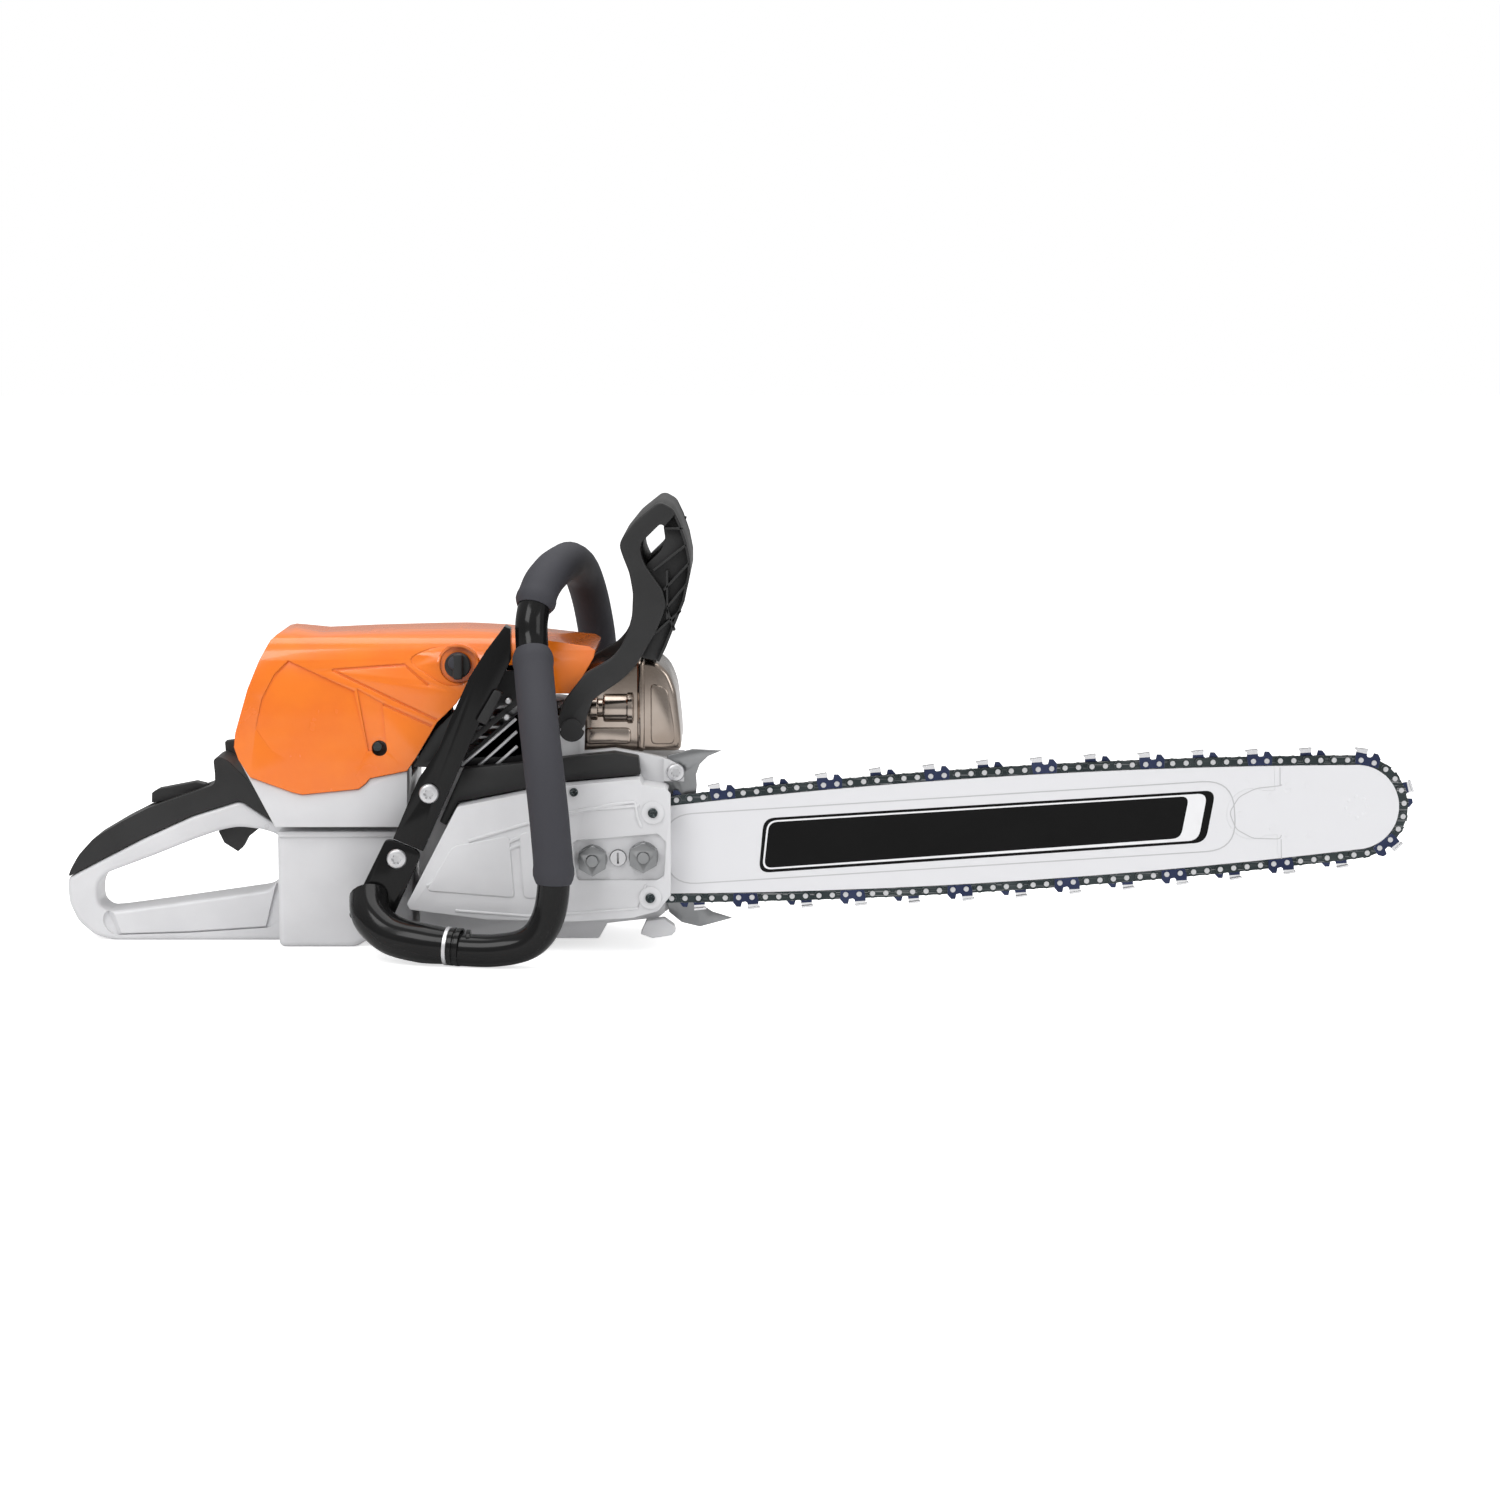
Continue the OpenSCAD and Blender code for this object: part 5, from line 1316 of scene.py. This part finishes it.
@dataclass
class StarterSide(Assembly):
    """The left side: the starter cord, the housing's screws and vent ring, and the case's raised field."""

    rope: tuple[float, float] = (-16.0, 71.0)
    low: float = 66.0
    high: float = 157.6

    def build(self) -> None:
        """Builds the cord and the relief of the left side."""
        x, y = self.rope
        count = 60
        line = [at(x, y, self.low + (self.high - self.low) * k / count) for k in range(count + 1)]
        cord = tube("starter_cord", line, 1.85)
        cord.data.materials.clear()
        cord.data.materials.append(RUBBER.material())
        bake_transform(cord)
        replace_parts(cord, "starter_rope")
        out = Side.LEFT.out
        for k, (sx, sz) in enumerate(((-33, 17), (-22, 133), (66, 93), (50, 10))):
            screw = turned(f"housing_screw_{k}", [(0, 4.2), (1.4, 4.2), (2.0, 3.6), (1.6, 1.9), (0.5, 1.7)],
                           at(sx, FAN_LEFT - 0.3, sz), out, 24)
            self.add(screw, OILED)
        hub = at(CRANK_X, FAN_LEFT - 0.2, CRANK_Z)
        ring = turned("vent_ring", [(0, 47.2), (0.9, 46.6)], hub, out, 96)
        middle = turned("middle", [(0, 44.6), (6, 45)], at(CRANK_X, FAN_LEFT - 3, CRANK_Z), out, 96)
        combine(ring, middle, "DIFFERENCE")
        self.add(settle(ring, "vent_ring"), PALE)
        self.add(turned("vent_middle", [(0, 12), (1, 11.4), (1.6, 9), (1.8, 4)], hub, out, 64), PALE)
        raised = softened([(86, 74), (126, 74), (126, 126), (86, 126)], 6, 4)
        self.add(slab("case_field", raised, CASE_LEFT - 1, CASE_LEFT + 1.1, edge=0.8, steps=3), CASTING)
        for k, z in enumerate((88, 100, 112)):
            rib = softened([(92, z), (120, z), (120, z + 3), (92, z + 3)], 1.4, 3)
            self.add(slab(f"case_rib_{k}", rib, CASE_LEFT, CASE_LEFT + 2.2, edge=0.6), CASTING)


@dataclass
class Silencer(Assembly):
    """The plated silencer with its seam band and its stepped outlet."""

    outline: list[Point] = field(default_factory=lambda: [
        (57.2, 141), (129, 141), (128, 158), (125, 184), (120, 197), (111, 205), (98, 206), (66, 200),
        (57.2, 192)])

    def build(self) -> None:
        """Builds the box, the band and the outlet."""
        box = slab("silencer_box", softened(self.outline, 5, 3), -42, 46, edge=7, steps=5)
        box = self.add(box, BRONZE)
        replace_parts(box, "muffler")
        band = slab("silencer_band", [(96.6, 140.4), (103.4, 140.4), (103.4, 206.6), (96.6, 206.4)],
                    -43.3, 47.3)
        round_edges(band, 6, 4, 60)
        self.add(settle(band, "silencer_band"), BRONZE)
        for name, outline in (("silencer_press_low", [(60, 146), (93, 146), (93, 158), (60, 158)]),
                              ("silencer_press_side", [(107, 146), (124, 146), (123.4, 160), (119, 186),
                                                       (107, 190)])):
            self.add(slab(name, softened(outline, 4, 3), -43.4, -40, edge=1.3, steps=3), BRONZE)
        outlet = turned("silencer_outlet", [(0, 9.2), (0.8, 11.2), (4.2, 11.2), (5, 10.2), (20.6, 10.2),
                                            (21.6, 9.4), (22, 6.8), (25.4, 6.8), (26, 8.9), (30.6, 8.9),
                                            (31, 7), (29, 5.6)],
                        at(95, -41, 172), Vector((-1, 0, 0)), 48)
        self.add(outlet, BRONZE)


@dataclass
class ChainCover(Assembly):
    """The pale cover over the drive sprocket, with its raised fields and ribs."""

    def build(self) -> None:
        """Copies the cover with softened edges and adds its relief."""
        shell = copy_of("sprocket_cover", "chain_cover", 1.0, 3)
        self.add(shell, PALE)
        face = COVER_FACE
        fields = {
            "cover_field_rear": [(-50.5, 47.5), (-31.5, 79.4), (8.5, 87), (12, 42.5)],
            "cover_field_front": [(15.5, 88.3), (49.8, 95), (49.8, 43.6), (18.4, 41.8)],
        }
        for name, outline in fields.items():
            self.add(slab(name, softened(outline, 4, 4), face - 1.1, face + 1, edge=0.8, steps=3), PALE)
        rib = softened(strip([(-20.5, 83), (23, 96), (50.4, 103), (84, 109.2), (97, 110.6), (98.6, 100),
                              (101.5, 92.5)], 2.4), 1, 2)
        self.add(slab("cover_rib_top", rib, face - 1.2, face + 1, edge=0.7, steps=3), PALE)
        low = strip([(104.5, 52), (98.6, 34.8), (22.5, 29.4), (-30, 33.4)], 1.8)
        self.add(slab("cover_rib_low", low, face - 0.9, face + 1, edge=0.6, steps=3), PALE)
        for k, (x, z, r) in enumerate(((54.1, 117.6, 3.0), (109.5, 103, 3.4), (107.5, 42.5, 3.4))):
            head = [(0, r), (1.6, r), (2.0, r * 0.8), (1.5, r * 0.45), (0.9, r * 0.4)]
            place = at(x, face + (0.4 if k == 0 else -1.3), z)
            self.add(turned(f"cover_screw_{k}", head, place, Side.RIGHT.out, 24), OILED)


# ---------------------------------------------------------------- scene


@dataclass
class Studio:
    """Floor, lights and camera."""

    target: Place = (12.5, -45.0, 144.2)
    distance: float = 2600.0
    elevation: float = 7.0
    lens: float = 88.1
    sky_low: float = 0.36
    sky_high: float = 0.7
    floor_glow: float = 0.68

    def build(self) -> None:
        """Builds the floor, the lights and the camera."""
        self._floor()
        self._world()
        self._lights()
        self._camera()

    def _floor(self) -> None:
        """Lays the pale floor."""
        deselect()
        bpy.ops.mesh.primitive_plane_add(size=30, location=(0, 0, 0))
        floor = settle(bpy.context.active_object, "floor")
        made = bpy.data.materials.new("pale_floor")
        made.use_nodes = True
        shader = made.node_tree.nodes["Principled BSDF"]
        shader.inputs["Base Color"].default_value = (0.86, 0.86, 0.86, 1)
        shader.inputs["Roughness"].default_value = 0.7
        shader.inputs["Emission Color"].default_value = (1, 1, 1, 1)
        link = Link(made.node_tree)
        seen = link.node("LightPath").outputs["Is Camera Ray"]
        link.join(link.value("MULTIPLY", seen, self.floor_glow), shader.inputs["Emission Strength"])
        floor.data.materials.append(made)

    def _world(self) -> None:
        """Fills the scene with soft white light."""
        world = bpy.data.worlds.new("soft_white")
        bpy.context.scene.world = world
        world.use_nodes = True
        background = world.node_tree.nodes["Background"]
        background.inputs["Color"].default_value = (1.0, 1.0, 1.0, 1)
        link = Link(world.node_tree)
        seen = link.node("LightPath").outputs["Is Camera Ray"]
        place = link.node("TexCoord")
        parts = link.node("SeparateXYZ")
        link.join(place.outputs["Generated"], parts.inputs[0])
        height = link.node("MapRange", {"Value": parts.outputs["Z"], "From Min": -0.05, "From Max": 0.85,
                                        "To Min": self.sky_low, "To Max": self.sky_high})
        hidden = link.value("MULTIPLY", link.value("SUBTRACT", 1.0, seen), height.outputs["Result"])
        link.join(link.value("ADD", seen, hidden), background.inputs["Strength"])

    def _lights(self) -> None:
        """Hangs the three soft lights, turned to the middle of the machine."""
        middle = Vector((0, -0.02, 0.12))
        for name, place, size, power in (("key_light", (-1.0, -1.5, 1.6), 1.1, 20),
                                         ("fill_light", (1.6, -1.3, 0.9), 1.0, 8),
                                         ("top_light", (0.1, 0.1, 2.0), 1.6, 22)):
            deselect()
            bpy.ops.object.light_add(type="AREA", location=place)
            light = bpy.context.active_object
            light.name = name
            light.data.size = size
            light.data.energy = power
            light.rotation_euler = (middle - Vector(place)).to_track_quat("-Z", "Y").to_euler()

    def _camera(self) -> None:
        """Sets up the camera on the right of the machine."""
        deselect()
        aim = Vector(self.target) / 1000
        tilt = radians(self.elevation)
        place = aim + Vector((0, -cos(tilt), sin(tilt))) * self.distance / 1000
        bpy.ops.object.camera_add(location=place)
        camera = bpy.context.active_object
        camera.name = "camera"
        camera.rotation_euler = (aim - place).to_track_quat("-Z", "Y").to_euler()
        camera.data.lens = self.lens
        camera.data.sensor_width = 36
        camera.data.clip_end = 50
        bpy.context.scene.camera = camera
        bpy.context.scene.view_settings.view_transform = "Standard"


def main() -> None:
    """Builds the whole machine and its studio."""
    logging.basicConfig(level=logging.INFO, format="%(name)s: %(message)s")
    dress_frame()
    groups: list[Assembly] = [
        FrontHandle(), RearHandle(), TopCover(), HandGuard(), Silencer(), ChainCover(), BarDress(),
        ChainTeeth(),
        Shell(node="airbox_base", edge=0.8), Shell(node="crankcase", edge=0.8, finish=CASTING),
        Shell(node="side_grille", edge=0.5, finish=BLACK), Shell(node="side_plate", edge=0.9, finish=BLACK),
        Shell(node="handle_strap", edge=1.2, finish=ENAMEL), Shell(node="fan_housing", edge=1.0),
        Shell(node="bumper_spike", edge=0.4, finish=ZINC), Fasteners(), CoolingRibs(), StarterSide(),
        CoverLock(side=Side.RIGHT), CoverLock(side=Side.LEFT),
        Shell(node="chain_catcher", edge=0.8),
        Shell(node="throttle_trigger", edge=1.2, steps=3, finish=BLACK, body="trigger"),
        Shell(node="throttle_lockout", edge=1.2, steps=3, finish=BLACK, body="lockout"),
        Shell(node="control_lever", edge=1.0, steps=3, finish=BLACK, body="control"),
        Shell(node="starter_grip", edge=2.0, steps=4, finish=BLACK, body="starter_handle"),
        Shell(node="fuel_cap", edge=0.8, finish=BLACK, body="fuel_lid"),
        Shell(node="oil_cap", edge=0.8, finish=BLACK, body="oil_lid"),
    ]
    for group in groups:
        group.build()
    Studio().build()


if __name__ == "__main__":
    main()
